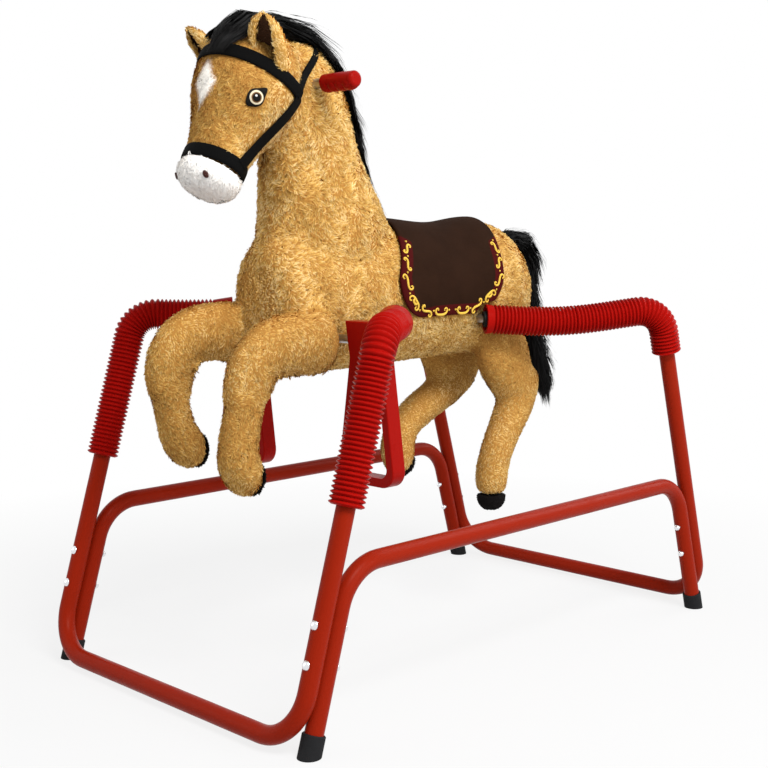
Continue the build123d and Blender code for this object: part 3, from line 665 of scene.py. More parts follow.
head_way = np.array((0, cos(radians(241)), sin(radians(241))))
head_front = np.array((0, head_way[2], -head_way[1]))
head_top = np.array((0, -0.307, 1.008))
hide_mesh = skin_of("hide", hide_forms + filling, 0.0062, 10, 0.0042)
form_trees = [tree_of(nodes[form].data) for form in hide_forms]
apart = np.array([[tree.find_nearest(v.co)[3] for tree in form_trees] for v in hide_mesh.vertices])
hide_form = apart.argmin(axis=1)
shoulder_fill, fill_low, fill_span, body_span = 0.010, 0.455, 0.035, 0.02
stirrup_x, stirrup_front, stirrup_spans = 0.085, -0.262, (0.015, 0.02)
for vertex, form, gaps in zip(hide_mesh.vertices, hide_form, apart):
    if form in front_limbs:
        fill = ramp(vertex.co.z, fill_low, fill_span) * min(gaps[0] / body_span, 1) * shoulder_fill
        beside = ramp(abs(vertex.co.x), stirrup_x, stirrup_spans[0])
        fill *= 1 - beside * (1 - ramp(-vertex.co.y, -stirrup_front, stirrup_spans[1]))
        vertex.co += Vector((0, vertex.normal.y, vertex.normal.z)) * fill * (1 + max(vertex.normal.y, 0))
hide_mesh.update()
blaze_at, blaze_long, blaze_wide = 0.121, 0.042, 0.026


def blaze(at):
    """How white the hide is at points: a soft diamond on the forehead."""
    along, ahead = (at - head_top) @ head_way, (at - head_top) @ head_front
    spread = np.abs(at[:, 0]) / blaze_wide + np.abs(along - blaze_at) / blaze_long
    return np.clip((1.0 - spread) * 3.0, 0, 1) * (ahead > 0.02)


hide_points = np.array([v.co for v in hide_mesh.vertices])
# The backing takes the painted shade of the hair roots, so gaps in the pile show dark.
hide = bare_skin("hide", hide_mesh, tan_pile, along=0.1, shade=0.05, pale=blaze(hide_points))
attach(hide, "horse")
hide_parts(*hide_forms)
hide_tree = tree_of(hide_mesh)

bridle = {
    "nose_band": ((-0.4860, 0.8565), (-0.352, 0.7825)),
    "cheek_straps": ((-0.386, 0.832), (-0.306, 0.916)),
    "brow_band": ((-0.298, 0.922), (-0.463, 1.0135)),
    "crown_strap": ((-0.312, 0.920), (-0.230, 1.010)),
}
strap_width = {"nose_band": 0.021, "cheek_straps": 0.021, "brow_band": 0.021, "crown_strap": 0.013}
eye_y, eye_z, eye_r = -0.388, 0.913, 0.0160
saddle_low, front_corner, rear_corner, pocket_r = 0.576, 0.050, 0.072, 0.031


def off_band(at, start, finish, half):
    """Which points lie clear of a band drawn in the side view."""
    start, finish = np.array(start), np.array(finish)
    way = finish - start
    span = norm(way)
    way = way / span
    run = (at[:, 1:] - start) @ way
    aside = np.abs((at[:, 1:] - start) @ np.array((-way[1], way[0])))
    return (aside > half) | (run < -half) | (run > span + half)


def saddle_edges(height):
    """Where the saddle's front and rear edges are at a height on the flank."""
    front = np.interp(height, (saddle_low, 0.640, 0.780), (-0.105, -0.112, -0.046))
    rear = np.interp(height, (saddle_low, 0.680, 0.780), (0.148, 0.160, 0.184))
    above = np.maximum(np.asarray(height) - saddle_low, 0)
    cuts = []
    for corner in (front_corner, rear_corner):
        drop = corner - np.clip(above, 0, corner)
        cuts.append(corner - np.sqrt(np.maximum(corner**2 - drop**2, 0)))
    clear = bar_y - np.sqrt(np.maximum(pocket_r**2 - (np.asarray(height) - bar_z) ** 2, 0))
    round_spring = np.abs(np.asarray(height) - bar_z) < pocket_r
    return front + cuts[0], np.where(round_spring, np.minimum(rear - cuts[1], clear), rear - cuts[1])


coats = {
    "body": (0.0108, 0.0023, 160000, 0.62, 1.35, 0.45, 0.09, (0, 0.5, -0.85)),
    "neck": (0.0118, 0.0023, 165000, 0.62, 1.45, 0.45, 0.13, (0, 0.35, -0.93)),
    "head": (0.0088, 0.0020, 220000, 0.58, 1.1, 0.40, 0.11, head_way),
    "limbs": (0.0080, 0.0021, 160000, 0.52, 1.0, 0.38, 0.08, (0, 0.1, -1.0)),
}
stirrup_bar_y, stirrup_bar_z, bar_clear, tuck = -0.230, 0.548, 0.0135, 0.001
clipped_x, clipped_half = 0.095, 0.05
for coat, (length, width, density, lift, curl, gather, relief, combed) in coats.items():
    forms = [*front_limbs, *hind_limbs] if coat == "limbs" else [hide_forms.index(coat)]
    at, facing, vertex = roots_on(hide_mesh, np.isin(hide_form, forms) * float(density), 11 + len(coat))
    keep = np.ones(len(at), bool)
    for y, z in ((-bar_y, bar_z), (bar_y, bar_z), (stirrup_bar_y, stirrup_bar_z)):
        keep &= np.hypot(at[:, 1] - y, at[:, 2] - z) > bar_clear
    if coat == "body":
        front, rear = saddle_edges(at[:, 2])
        keep &= (at[:, 2] < saddle_low) | (at[:, 1] < front + tuck) | (at[:, 1] > rear - tuck)
    if coat == "head":
        for band, (start, finish) in bridle.items():
            keep &= off_band(at, start, finish, strap_width[band] / 2 - tuck)
        keep &= np.hypot(at[:, 1] - eye_y, at[:, 2] - eye_z) > eye_r - 2 * tuck
    at, facing, form = at[keep], facing[keep], hide_form[vertex[keep]]
    hind, fore = np.isin(form, hind_limbs), np.isin(form, front_limbs)
    by_stirrup = (np.abs(at[:, 0]) > clipped_x) & (np.abs(at[:, 1] - stirrup_bar_y) < clipped_half)
    length = length * np.where(hind, 0.75, 1.0) * np.where((facing[:, 2] < -0.5) & (form == 0), 0.65, 1.0)
    length = length * np.where(by_stirrup, 0.5, 1.0)
    shade = 0.06 + 0.08 * waves(at, 0.09, 5) - 0.10 * fore * (1 + 0.6 * waves(at, 0.13, 6))
    # The upper hind legs are painted darker: painted shadow of the rear covers and the belly over the thighs.
    shade = shade - 0.26 * hind * ramp(at[:, 2], 0.43, 0.05)
    pale = 0.0
    if coat == "head":
        shade = shade + np.interp((at - head_top) @ head_front, (-0.02, 0.06), (0.12, -0.26))
        pale = blaze(at)
    piece = grow_pile(
        f"coat_{coat}", at, facing, combed, length, width, lift, curl, gather,
        shade, 40 + len(coat), [tan_pile], pale=pale, relief=relief,
    )
    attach(piece, "horse")

# The muzzle is a short white plush cap sewn over the end of the nose.
# It is brushed down towards the lips, and the fabric shows a little pink under them.
muzzle_mesh = skin_of("muzzle_skin", ["muzzle"], 0.004, 8, 0.0028)
muzzle = bare_skin("muzzle_skin", muzzle_mesh, white_pile, along=0.5, shade=0.1)
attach(muzzle, "horse")
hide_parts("muzzle")
cap_seam, hide_clear, muzzle_density = 0.219, 0.004, 230000.0
at, facing, vertex = roots_on(muzzle_mesh, np.full(len(muzzle_mesh.vertices), muzzle_density), 71)
keep = np.array([hide_tree.find_nearest(p)[3] for p in at]) > hide_clear
keep &= ((at - head_top) @ head_way) > cap_seam
at, facing = at[keep], facing[keep]
shade = 0.28 + 0.06 * waves(at, 0.03, 8)
piece = grow_pile(
    "muzzle_pile", at, facing, head_way + np.array((0, 0.2, -0.3)), 0.0062, 0.0022, 0.55, 0.45, 0.35,
    shade, 73, [white_pile],
)
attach(piece, "horse")

# Soles and hooves are caps of close black plush sewn over the ends of the legs.
# Their pile is clipped short and brushed back.
cap_density = 420000.0
for foot in ("front_left", "front_right", "hind_left", "hind_right"):
    mesh = skin_of(f"{foot}_cap", [f"{foot}_sole"], 0.0028, 4, 0.0006)
    cap = bare_skin(f"{foot}_cap", mesh, black_pile, along=0.4, shade=0.1)
    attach(cap, "horse")
    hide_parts(f"{foot}_sole")
    at, facing, vertex = roots_on(mesh, np.full(len(mesh.vertices), cap_density), 81)
    piece = grow_pile(
        f"{foot}_cap_pile", at, facing, (0.0, 0.6, -0.5), 0.0034, 0.0016, 0.6, 0.4, 0.3, 0.2, 83, [black_pile]
    )
    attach(piece, "horse")

# Each ear is a cupped leaf of tan plush with a dark brown lining, turned through a seam round its edge.
# It is sewn to the brow and splayed outwards.
hands = (("left", 1), ("right", -1))
ear_ring, ear_steps, ear_wall, ear_sunk, ear_density = 29, 17, 0.0055, 0.020, 170000.0


def lined_sheet(rows, columns):
    """Faces of a cloth's face and lining, two grids of points in a row, and of the rim between them."""
    grid = np.arange(rows * columns).reshape(rows, columns)
    base = grid[:-1, :-1].ravel()
    sheet = np.stack((base, base + 1, base + columns + 1, base + columns), axis=1)
    border = np.concatenate((grid[0], grid[1:, -1], grid[-1, -2::-1], grid[-2:0:-1, 0]))
    after = np.roll(border, -1)
    rim = np.stack((border, border + grid.size, after + grid.size, after), axis=1)
    return sheet, sheet[:, ::-1] + grid.size, rim


for side_name, side in hands:
    root, tip = np.array((side * 0.050, -0.342, 0.955)), np.array((side * 0.091, -0.390, 1.029))
    rise = (tip - root) / norm(tip - root)
    opening = square_to(np.array((side * 0.42, -0.88, 0.1)), rise)
    cross = np.cross(rise, opening)
    share = np.linspace(0, 1, ear_steps)
    half_wide = np.interp(share, (0, 0.3, 0.6, 0.8, 0.93, 1), (0.024, 0.031, 0.031, 0.026, 0.018, 0.006))
    depth = np.interp(share, (0, 0.3, 0.6, 0.8, 0.93, 1), (0.017, 0.018, 0.015, 0.011, 0.006, 0.002))
    angle = np.linspace(-radians(142), radians(142), ear_ring)
    middle = root - rise * ear_sunk + np.outer(share * (norm(tip - root) + ear_sunk), rise)
    shells = []
    for draw_in in (0.0, ear_wall):
        wide = np.maximum(half_wide - draw_in, half_wide * 0.55)[:, None]
        deep = np.maximum(depth - draw_in, depth * 0.4)[:, None]
        shell = middle[:, None] + (wide * np.sin(angle))[:, :, None] * cross
        shells.append((shell - (deep * np.cos(angle))[:, :, None] * opening).reshape(-1, 3))
    parts = lined_sheet(ear_steps, ear_ring)
    faces = np.concatenate(parts)
    if np.dot(np.cross(cross, rise), opening) >= 0:
        faces = faces[:, ::-1]
    lining = np.repeat((0, 1, 0), [len(part) for part in parts])
    ear = new_piece(f"{side_name}_ear_leaf", np.concatenate(shells), faces, [tan_pile, brown_pile], lining)
    paint(ear.data, "along", 0.35)
    paint(ear.data, "shade", 0.05)
    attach(ear, "horse")
    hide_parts(f"{side_name}_ear")
    at, facing, vertex = roots_on(ear.data, np.full(len(ear.data.vertices), ear_density), 91)
    inner = (vertex >= ear_steps * ear_ring).astype(int)
    piece = grow_pile(
        f"{side_name}_ear_pile", at, facing, rise, np.where(inner == 1, 0.0045, 0.0075), 0.0026, 0.5, 0.6, 0.4,
        0.12, 93, [tan_pile, brown_pile], inner,
    )
    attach(piece, "horse")

# The bridle is flat black webbing: nose band, cheek straps, brow band and crown strap.
# It is sewn down where straps meet, so it lies pressed into the pile.
weave = bpy.data.node_groups.new("close_weave", "ShaderNodeTree")
weave.interface.new_socket("Count", in_out="INPUT", socket_type="NodeSocketFloat").default_value = 900
weave.interface.new_socket("Height", in_out="OUTPUT", socket_type="NodeSocketFloat")
entry, leaving = weave.nodes.new("NodeGroupInput"), weave.nodes.new("NodeGroupOutput")
place, cross_over = add_node(weave, "ShaderNodeTexCoord"), add_node(weave, "ShaderNodeMath")
cross_over.operation = "MAXIMUM"
for number, direction in enumerate(("DIAGONAL", "Z")):
    thread = add_node(weave, "ShaderNodeTexWave")
    thread.bands_direction = direction
    wire(
        weave,
        (place, "Object", thread, "Vector"),
        (entry, "Count", thread, "Scale"),
        (thread, "Fac", cross_over, number),
    )
wire(weave, (cross_over, 0, leaving, "Height"))


def woven(tree, shader, count, depth):
    """Add a close weave to a cloth finish."""
    threads = add_group(tree, weave, {"Count": count})
    bump = add_node(tree, "ShaderNodeBump", {"Strength": 0.5, "Distance": depth})
    wire(tree, (threads, "Height", bump, "Height"), (bump, "Normal", shader, "Normal"))


webbing, tree, shader = new_material("black_webbing")
set_inputs(shader, {"Base Color": (0.003, 0.003, 0.003, 1), "Roughness": 0.75, "Specular IOR Level": 0.04})
woven(tree, shader, 260, 0.0004)
strap_proud, nose_proud, strap_thick, ray_reach = 0.0038, -0.0004, 0.0024, 0.3


def strap_ribbon(name, spots, outs, edge_way, width, closed):
    """A flat strap with rounded edges through spots on the head, lying square to its outward way."""
    profile = [(-1, 0.0), (-0.92, 0.75), (-0.6, 1.0), (0, 1.06), (0.6, 1.0), (0.92, 0.75), (1, 0.0), (0, -0.6)]
    rings = []
    for spot, out in zip(spots, outs):
        edge = square_to(edge_way, out)
        rings.append([spot + edge * u * width / 2 + out * v * strap_thick for u, v in profile])
    faces = tube_faces(len(rings), len(profile), closed)
    piece = new_piece(name, np.array(rings).reshape(-1, 3), faces[:, ::-1], [webbing])
    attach(piece, "horse")
    return piece


def smoothed(rows, times, closed):
    """Rows drawn towards the middle of their neighbours."""
    for _ in range(times):
        before, after = np.roll(rows, 1, axis=0), np.roll(rows, -1, axis=0)
        even = rows * 0.5 + (before + after) * 0.25
        if not closed:
            even[0], even[-1] = rows[0], rows[-1]
        rows = even
    return rows


def side_hit(side, y, z):
    """Where a line straight in from one side meets the hide, and the way out of it."""
    return hide_tree.ray_cast(Vector((side * ray_reach, y, z)), Vector((-side, 0, 0)), ray_reach)[:2]


head_tree, cap_tree = tree_of(nodes["head"].data), tree_of(nodes["muzzle"].data)
nose_middle = np.array((0, *(np.array(bridle["nose_band"][0]) + np.array(bridle["nose_band"][1])) / 2))
for band in ("nose_band", "brow_band", "crown_strap"):
    (y0, z0), (y1, z1) = bridle[band]
    along = np.array((0, y1 - y0, z1 - z0))
    along /= norm(along)
    closed = band == "nose_band"
    hub = nose_middle if closed else np.array((0, y0, z0))
    turns = np.linspace(0, 2 * pi, 72, endpoint=False) if closed else np.linspace(0, pi, 73)
    spots = []
    for turn in turns:
        way = np.array((cos(turn), 0, 0)) + along * sin(turn)
        if closed:
            hits = [form.ray_cast(Vector(hub), Vector(way), ray_reach)[0] for form in (head_tree, cap_tree)]
            hits = [spot for spot in hits if spot is not None]
            hit = max(hits, key=lambda spot: (spot - Vector(hub)).length) if hits else None
        else:
            hit = hide_tree.ray_cast(Vector(hub + way * ray_reach), Vector(-way), ray_reach)[0]
        spots.append(hit if hit is not None else spots[-1])
    spots = smoothed(np.array(spots), 6, closed)
    flat_way = np.cross((1, 0, 0), along)
    runs = np.gradient(spots, axis=0)
    if closed:
        runs = np.roll(spots, -1, axis=0) - np.roll(spots, 1, axis=0)
    outs = unit(np.cross(runs, flat_way))
    outs *= np.sign(((spots - hub) * outs).sum(axis=1))[:, None]
    proud = nose_proud if closed else strap_proud
    piece = strap_ribbon(f"{band}_web", spots + outs * proud, outs, flat_way, strap_width[band], closed)
    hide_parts(band)

(y0, z0), (y1, z1) = bridle["cheek_straps"]
square = np.cross((1, 0, 0), (0, y1 - y0, z1 - z0))
for side_name, side in hands:
    hits = [side_hit(side, y0 + (y1 - y0) * share, z0 + (z1 - z0) * share) for share in np.linspace(-0.20, 1.06, 46)]
    hits = [(spot, out) for spot, out in hits if spot is not None]
    spots = smoothed(np.array([spot for spot, _ in hits]), 6, False)
    outs = unit(smoothed(np.array([out for _, out in hits]), 12, False))
    spots = spots + outs * strap_proud
    piece = strap_ribbon(f"{side_name}_cheek_web", spots, outs, square, strap_width["cheek_straps"], False)
    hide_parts("cheek_straps")

# The eyes are flat embroidery: a black almond, a cream ring, a brown iris, a black pupil and a white glint.
# Each layer is satin stitch laid over the last, so it stands a thread higher.
def stitched(name, colour, scale=1400):
    """Satin-stitch thread, with a fine ridge to each stitch."""
    made, tree, shader = new_material(name)
    set_inputs(shader, {"Base Color": (*colour, 1), "Roughness": 0.45, "Specular IOR Level": 0.10})
    place = add_node(tree, "ShaderNodeTexCoord")
    lines = add_node(tree, "ShaderNodeTexWave", {"Scale": scale, "Distortion": 1.5})
    bump = add_node(tree, "ShaderNodeBump", {"Strength": 0.4, "Distance": 0.0003})
    wire(
        tree,
        (place, "Object", lines, "Vector"),
        (lines, "Fac", bump, "Height"),
        (bump, "Normal", shader, "Normal"),
    )
    return made


threads = [
    stitched("thread_black", (0.003, 0.003, 0.003)),
    stitched("thread_cream", (0.80, 0.70, 0.50)),
    stitched("thread_brown", (0.16, 0.075, 0.025)),
    stitched("thread_white", (0.9, 0.9, 0.88)),
]
layers = ((0, 1.08, 0.0, 0.0), (1, 0.78, 0.0, 0.0), (2, 0.58, 0.0, 0.0), (0, 0.45, 0.0, 0.0), (3, 0.13, 0.05, 0.16))
eye_ring, ring_shares = 40, (1.0, 0.8, 0.45)
eye_proud, layer_step, edge_drop, layer_dome = 0.0052, 0.0008, 0.0030, 0.0007
for side_name, side in hands:
    hit, out = side_hit(side, eye_y, eye_z)
    out = np.array(out)
    back_up = square_to(np.array((0, 0.80, 0.60)), out)
    square = np.cross(out, back_up) * side
    points, faces, kinds = [], [], []
    for number, (thread, size, shift, lift) in enumerate(layers):
        first = len(points)
        for ring_share in ring_shares:
            for turn in np.linspace(0, 2 * pi, eye_ring, endpoint=False):
                u, v = cos(turn), sin(turn)
                if number == 0:
                    pinch = 1 + 0.60 * max(u, 0) ** 5 + 0.30 * max(-u, 0) ** 5
                    u, v = u * 0.80 * pinch, v * 0.79 * (1 - 0.20 * max(u, 0) ** 2)
                spot = np.array(hit) + (u * size * ring_share + shift) * eye_r * back_up
                spot = spot + (v * size * ring_share + lift) * eye_r * square
                dome = eye_proud + layer_step * number - edge_drop * (ring_share == 1.0)
                dome += layer_dome * (1 - ring_share)
                points.append(spot + out * dome)
        faces += (tube_faces(len(ring_shares), eye_ring) + first).tolist()
        middle = len(points)
        inner = middle - eye_ring
        points.append(np.mean(points[inner:], axis=0))
        faces += [
            [inner + i, inner + i + 1, inner + (i + 2) % eye_ring, middle] for i in range(0, eye_ring, 2)
        ]
        kinds += [thread] * (len(faces) - len(kinds))
    faces = np.array(faces)
    if np.dot(np.cross(back_up, square), out) < 0:
        faces = faces[:, ::-1]
    eye = new_piece(f"{side_name}_eye", points, faces, threads, kinds)
    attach(eye, "horse")
    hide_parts("eyes")

# The nostrils are two small ovals of dark brown thread on the muzzle.
# They are worked in satin stitch through the white plush.
muzzle_tree = tree_of(muzzle_mesh)
nostril_thread = stitched("nostril_thread", (0.055, 0.018, 0.014))
nostril_half, nostril_ring = (0.0062, 0.0042), 24
nostril_rings = ((1.0, 0.001), (0.85, 0.0036), (0.4, 0.0042), (0.05, 0.0040))
for side_name, side in hands:
    spot, out = muzzle_tree.find_nearest(Vector((side * 0.040, -0.463, 0.798)))[:2]
    spot, out = np.array(spot), np.array(out)
    long_way = square_to(np.array((side * 0.3, 0.3, -1.0)), out)
    square = np.cross(out, long_way)
    turns = np.linspace(0, 2 * pi, nostril_ring, endpoint=False)
    rings = []
    for grow, height in nostril_rings:
        tall = np.outer(np.cos(turns) * nostril_half[0] * grow, long_way)
        rings.append(spot + out * height + tall + np.outer(np.sin(turns) * nostril_half[1] * grow, square))
    faces = tube_faces(len(rings), nostril_ring)
    nostril = new_piece(f"{side_name}_nostril", np.concatenate(rings), faces, [nostril_thread])
    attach(nostril, "horse")

# The saddle is a padded cloth panel sewn over the back: dark brown, with a maroon border down to its hem.
# It lies in the pile, its edges turned under and stitched.
saddle_cloth, tree, shader = new_material("saddle_cloth")
set_inputs(shader, {"Roughness": 0.8, "Specular IOR Level": 0.025})
edge, place = add_node(tree, "ShaderNodeAttribute"), add_node(tree, "ShaderNodeTexCoord")
edge.attribute_name = "from_edge"
wobble = add_node(tree, "ShaderNodeTexNoise", {"Scale": 24})
fade = add_node(tree, "ShaderNodeMapRange", {"From Min": 0.0245, "From Max": 0.0265})
field, nap = add_node(tree, "ShaderNodeMix"), add_node(tree, "ShaderNodeMix")
field.data_type = nap.data_type = "RGBA"
field.inputs["A"].default_value = (0.058, 0.005, 0.005, 1)
set_inputs(nap, {"A": (0.015, 0.0065, 0.0035, 1), "B": (0.027, 0.0115, 0.006, 1)})
wire(
    tree,
    (place, "Object", wobble, "Vector"),
    (wobble, "Fac", nap, "Factor"),
    (edge, "Fac", fade, "Value"),
    (fade, "Result", field, "Factor"),
    (nap, "Result", field, "B"),
    (field, "Result", shader, "Base Color"),
)
woven(tree, shader, 420, 0.0003)

rows, columns, cloth_thick, cloth_proud, seat_dip = 131, 61, 0.0036, 0.0012, 0.0014
barrel_z, hem_station, hem_width, border_end, border_fade = 0.613, 0.03, 0.005, 0.700, 0.012
body_tree = tree_of(nodes["body"].data)


def flank_hit(y, turn):
    """The barrel's surface at a station, seen from its middle at an angle from straight up."""
    hub, way = Vector((0, y, barrel_z)), Vector((sin(turn), 0, cos(turn)))
    hit, out = body_tree.ray_cast(hub + way * ray_reach, -way, ray_reach)[:2]
    return np.array(hit), np.array(out)


tried = np.linspace(radians(60), radians(125), 400)
heights = np.array([flank_hit(hem_station, turn)[0][2] for turn in tried])
last_turn = tried[np.argmin(np.abs(heights - saddle_low))]
turns = np.linspace(-last_turn, last_turn, rows)
panel, panel_out = np.empty((rows, columns, 3)), np.empty((rows, columns, 3))
for row, turn in enumerate(turns):
    height = flank_hit(hem_station, turn)[0][2]
    front, rear = saddle_edges(max(height, saddle_low + 0.0006))
    for column, y in enumerate(np.linspace(front, rear, columns)):
        panel[row, column], panel_out[row, column] = flank_hit(y, turn)
for _ in range(10):
    panel_out[1:-1] = panel_out[1:-1] * 0.5 + (panel_out[2:] + panel_out[:-2]) * 0.25
panel_out /= norm(panel_out, axis=2)[:, :, None]
panel = panel + panel_out * (cloth_proud + cloth_thick / 2)
over_back = np.cos(np.clip(turns, -pi / 2, pi / 2))[:, None]
panel[:, :, 2] -= seat_dip * over_back * np.cos(np.linspace(-pi, pi, columns))
steps_down = norm(np.diff(panel, axis=0), axis=2)
run_down = np.concatenate((np.zeros((1, columns)), np.cumsum(steps_down, axis=0)))
steps_back = norm(np.diff(panel, axis=1), axis=2)
run_back = np.concatenate((np.zeros((rows, 1)), np.cumsum(steps_back, axis=1)), axis=1)
from_edge = np.minimum.reduce((run_down, run_down[-1] - run_down, run_back, run_back[:, -1:] - run_back))
bordered = from_edge + 0.03 * ramp(panel[:, :, 2], border_end, border_fade)
turned_under = np.clip(1 - from_edge / hem_width, 0, 1)[:, :, None] ** 2
top = panel + panel_out * cloth_thick / 2 * (1 - 0.9 * turned_under)
under = panel - panel_out * cloth_thick / 2
faces = np.concatenate(lined_sheet(rows, columns))
if np.dot(np.cross(top[0, 1] - top[0, 0], top[1, 1] - top[0, 1]), panel_out[0, 0]) < 0:
    faces = faces[:, ::-1]
saddle = new_piece("saddle_panel", np.concatenate((top, under)).reshape(-1, 3), faces, [saddle_cloth])
paint(saddle.data, "from_edge", np.tile(bordered.ravel(), 2))
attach(saddle, "horse")
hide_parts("saddle")

# A border of gold scrolls is stitched round the panel: pairs of curls with a seed between them.
# The thread is laid in raised satin stitch.
gold = stitched("thread_gold", (0.80, 0.52, 0.07), 2200)


def on_panel(back, down):
    """Spots on the panel's top and their outward ways, from shares of the way back and across."""
    x, y = np.clip(back, 0, 1) * (columns - 1), np.clip(down, 0, 1) * (rows - 1)
    i, j = np.minimum(y.astype(int), rows - 2), np.minimum(x.astype(int), columns - 2)
    u, v = (x - j)[:, None], (y - i)[:, None]
    found = []
    for grid in (top, panel_out):
        row = grid[i, j] * (1 - u) * (1 - v) + grid[i, j + 1] * u * (1 - v)
        found.append(row + grid[i + 1, j] * (1 - u) * v + grid[i + 1, j + 1] * u * v)
    return found


lane, border_top, thread_r, seed_r, motif_gap = 0.0125, 0.320, 0.0023, 0.0019, 0.0035
across_length = float(run_down[-1].mean())
points, faces = [], []


def border_lane(flank):
    """The middle of the border down the front edge, along the hem and up the rear, with its ways."""
    downs = np.linspace(border_top, lane / across_length, 50)
    widths = np.interp(downs, np.linspace(0, 1, rows), run_back[:, -1])
    hem = np.linspace(lane / widths[-1], 1 - lane / widths[-1], 70)
    back = np.concatenate((lane / widths, hem, 1 - lane / widths[::-1]))
    down = np.concatenate((downs, np.full(len(hem), lane / across_length), downs[::-1]))
    spots, outs = (smoothed(line, 60, False) for line in on_panel(back, down if flank == 0 else 1 - down))
    length = lengths_along(spots)
    even = np.linspace(0, length[-1], 400)
    spots, outs = rows_at(even, length, spots), rows_at(even, length, outs)
    return even, spots, unit(outs), unit(np.cross(outs, np.gradient(spots, axis=0)))


def scroll(sweep, opposed, length, power):
    """A stroke whose ends curl over, opposite ways for an S and the same way for a C."""
    run = np.linspace(-1, 1, 61)
    heading = sweep * np.abs(run) ** power * (1 if opposed else np.sign(run))
    x, y = np.cumsum(np.cos(heading)), np.cumsum(np.sin(heading))
    grow = length / np.ptp(x)
    return (x - (x.max() + x.min()) / 2) * grow, (y - (y.max() + y.min()) / 2) * grow


def lay_thread(border, run, aside, radii):
    """Lay one raised thread along a line given by its way along the border and aside from it."""
    even, spots, outs, sides = border
    middle, out, square = (rows_at(run, even, line) for line in (spots, outs, sides))
    tube, skin = swept(middle + square * aside[:, None] + out * 0.0004, radii, 6, out[0])
    faces.append(skin + sum(len(p) for p in points))
    points.append(tube)


s_long, s_short = scroll(1.75 * pi, True, 0.026, 2.3), scroll(1.75 * pi, True, 0.020, 2.3)
c_wide, c_small = scroll(1.7 * pi, False, 0.030, 2.4), scroll(1.3 * pi, False, 0.012, 2.0)
seed = None
half_border = (
    seed, (s_short, -1, 0), seed, (s_short, 1, 0), seed, (s_long, 1, 0), seed, (c_wide, -1, 0.002),
    (c_small, 1, 0.0045), seed, (s_long, -1, 0), seed, (c_wide, 1, -0.002), seed,
)
spans = [0.004 if motif is seed else 0.0 if motif[0] is c_small else np.ptp(motif[0][0]) for motif in half_border]
for flank in (0, 1):
    border = border_lane(flank)
    total = border[0][-1]
    stretch = (total / 2) / (sum(spans) + motif_gap * len(spans))
    for mirror in (1, -1):
        reached = 0.0
        for motif, span in zip(half_border, spans):
            middle = (reached + span / 2) * stretch if span else (reached - motif_gap - 0.015) * stretch
            reached += span + motif_gap if span else 0.0
            place = middle if mirror == 1 else total - middle
            if motif is seed:
                dot = np.linspace(-1, 1, 9)
                lay_thread(border, place + dot * seed_r, dot * 0, seed_r * np.sqrt(np.maximum(1 - dot**2, 0.004)))
                continue
            (x, y), over, shift = motif
            radii = thread_r * (0.50 + 0.50 * np.sin(np.linspace(0, pi, len(x))))
            lay_thread(border, place + mirror * x * stretch, over * y + shift, radii)
scrolls = new_piece("saddle_scrolls", np.concatenate(points), np.concatenate(faces), [gold])
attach(scrolls, "horse")

# The mane is long straight black hair: a forelock thrown forward over the brow, and a crest laid down the neck.
# It is sewn in along the poll, so it parts there.
hair_black = hairy("long_black_hair", (0.002, 0.002, 0.002), (0.004, 0.004, 0.004), (0.010, 0.009, 0.009), 0.42, 0.06)
hair_depth, hair_clear = (0.72, 1.04), (0.007, 0.016)


def limb_line(y, z, heading, steps):
    """The middle line of a bending form with its outward way and half sizes, as even rows."""
    stations = []
    for forward, turn, half_x, half_depth in steps:
        y += forward * cos(radians(heading + turn / 2)) / 1000
        z += forward * sin(radians(heading + turn / 2)) / 1000
        heading += turn
        stations.append((y, z, -sin(radians(heading)), cos(radians(heading)), half_x / 1000, half_depth / 1000))
    stations = np.array(stations)
    return lengths_along(stations[:, :2]), stations


def between(low, high):
    """A draw of one value in a range for each hair."""
    return lambda rng, at: rng.uniform(low, high, len(at))


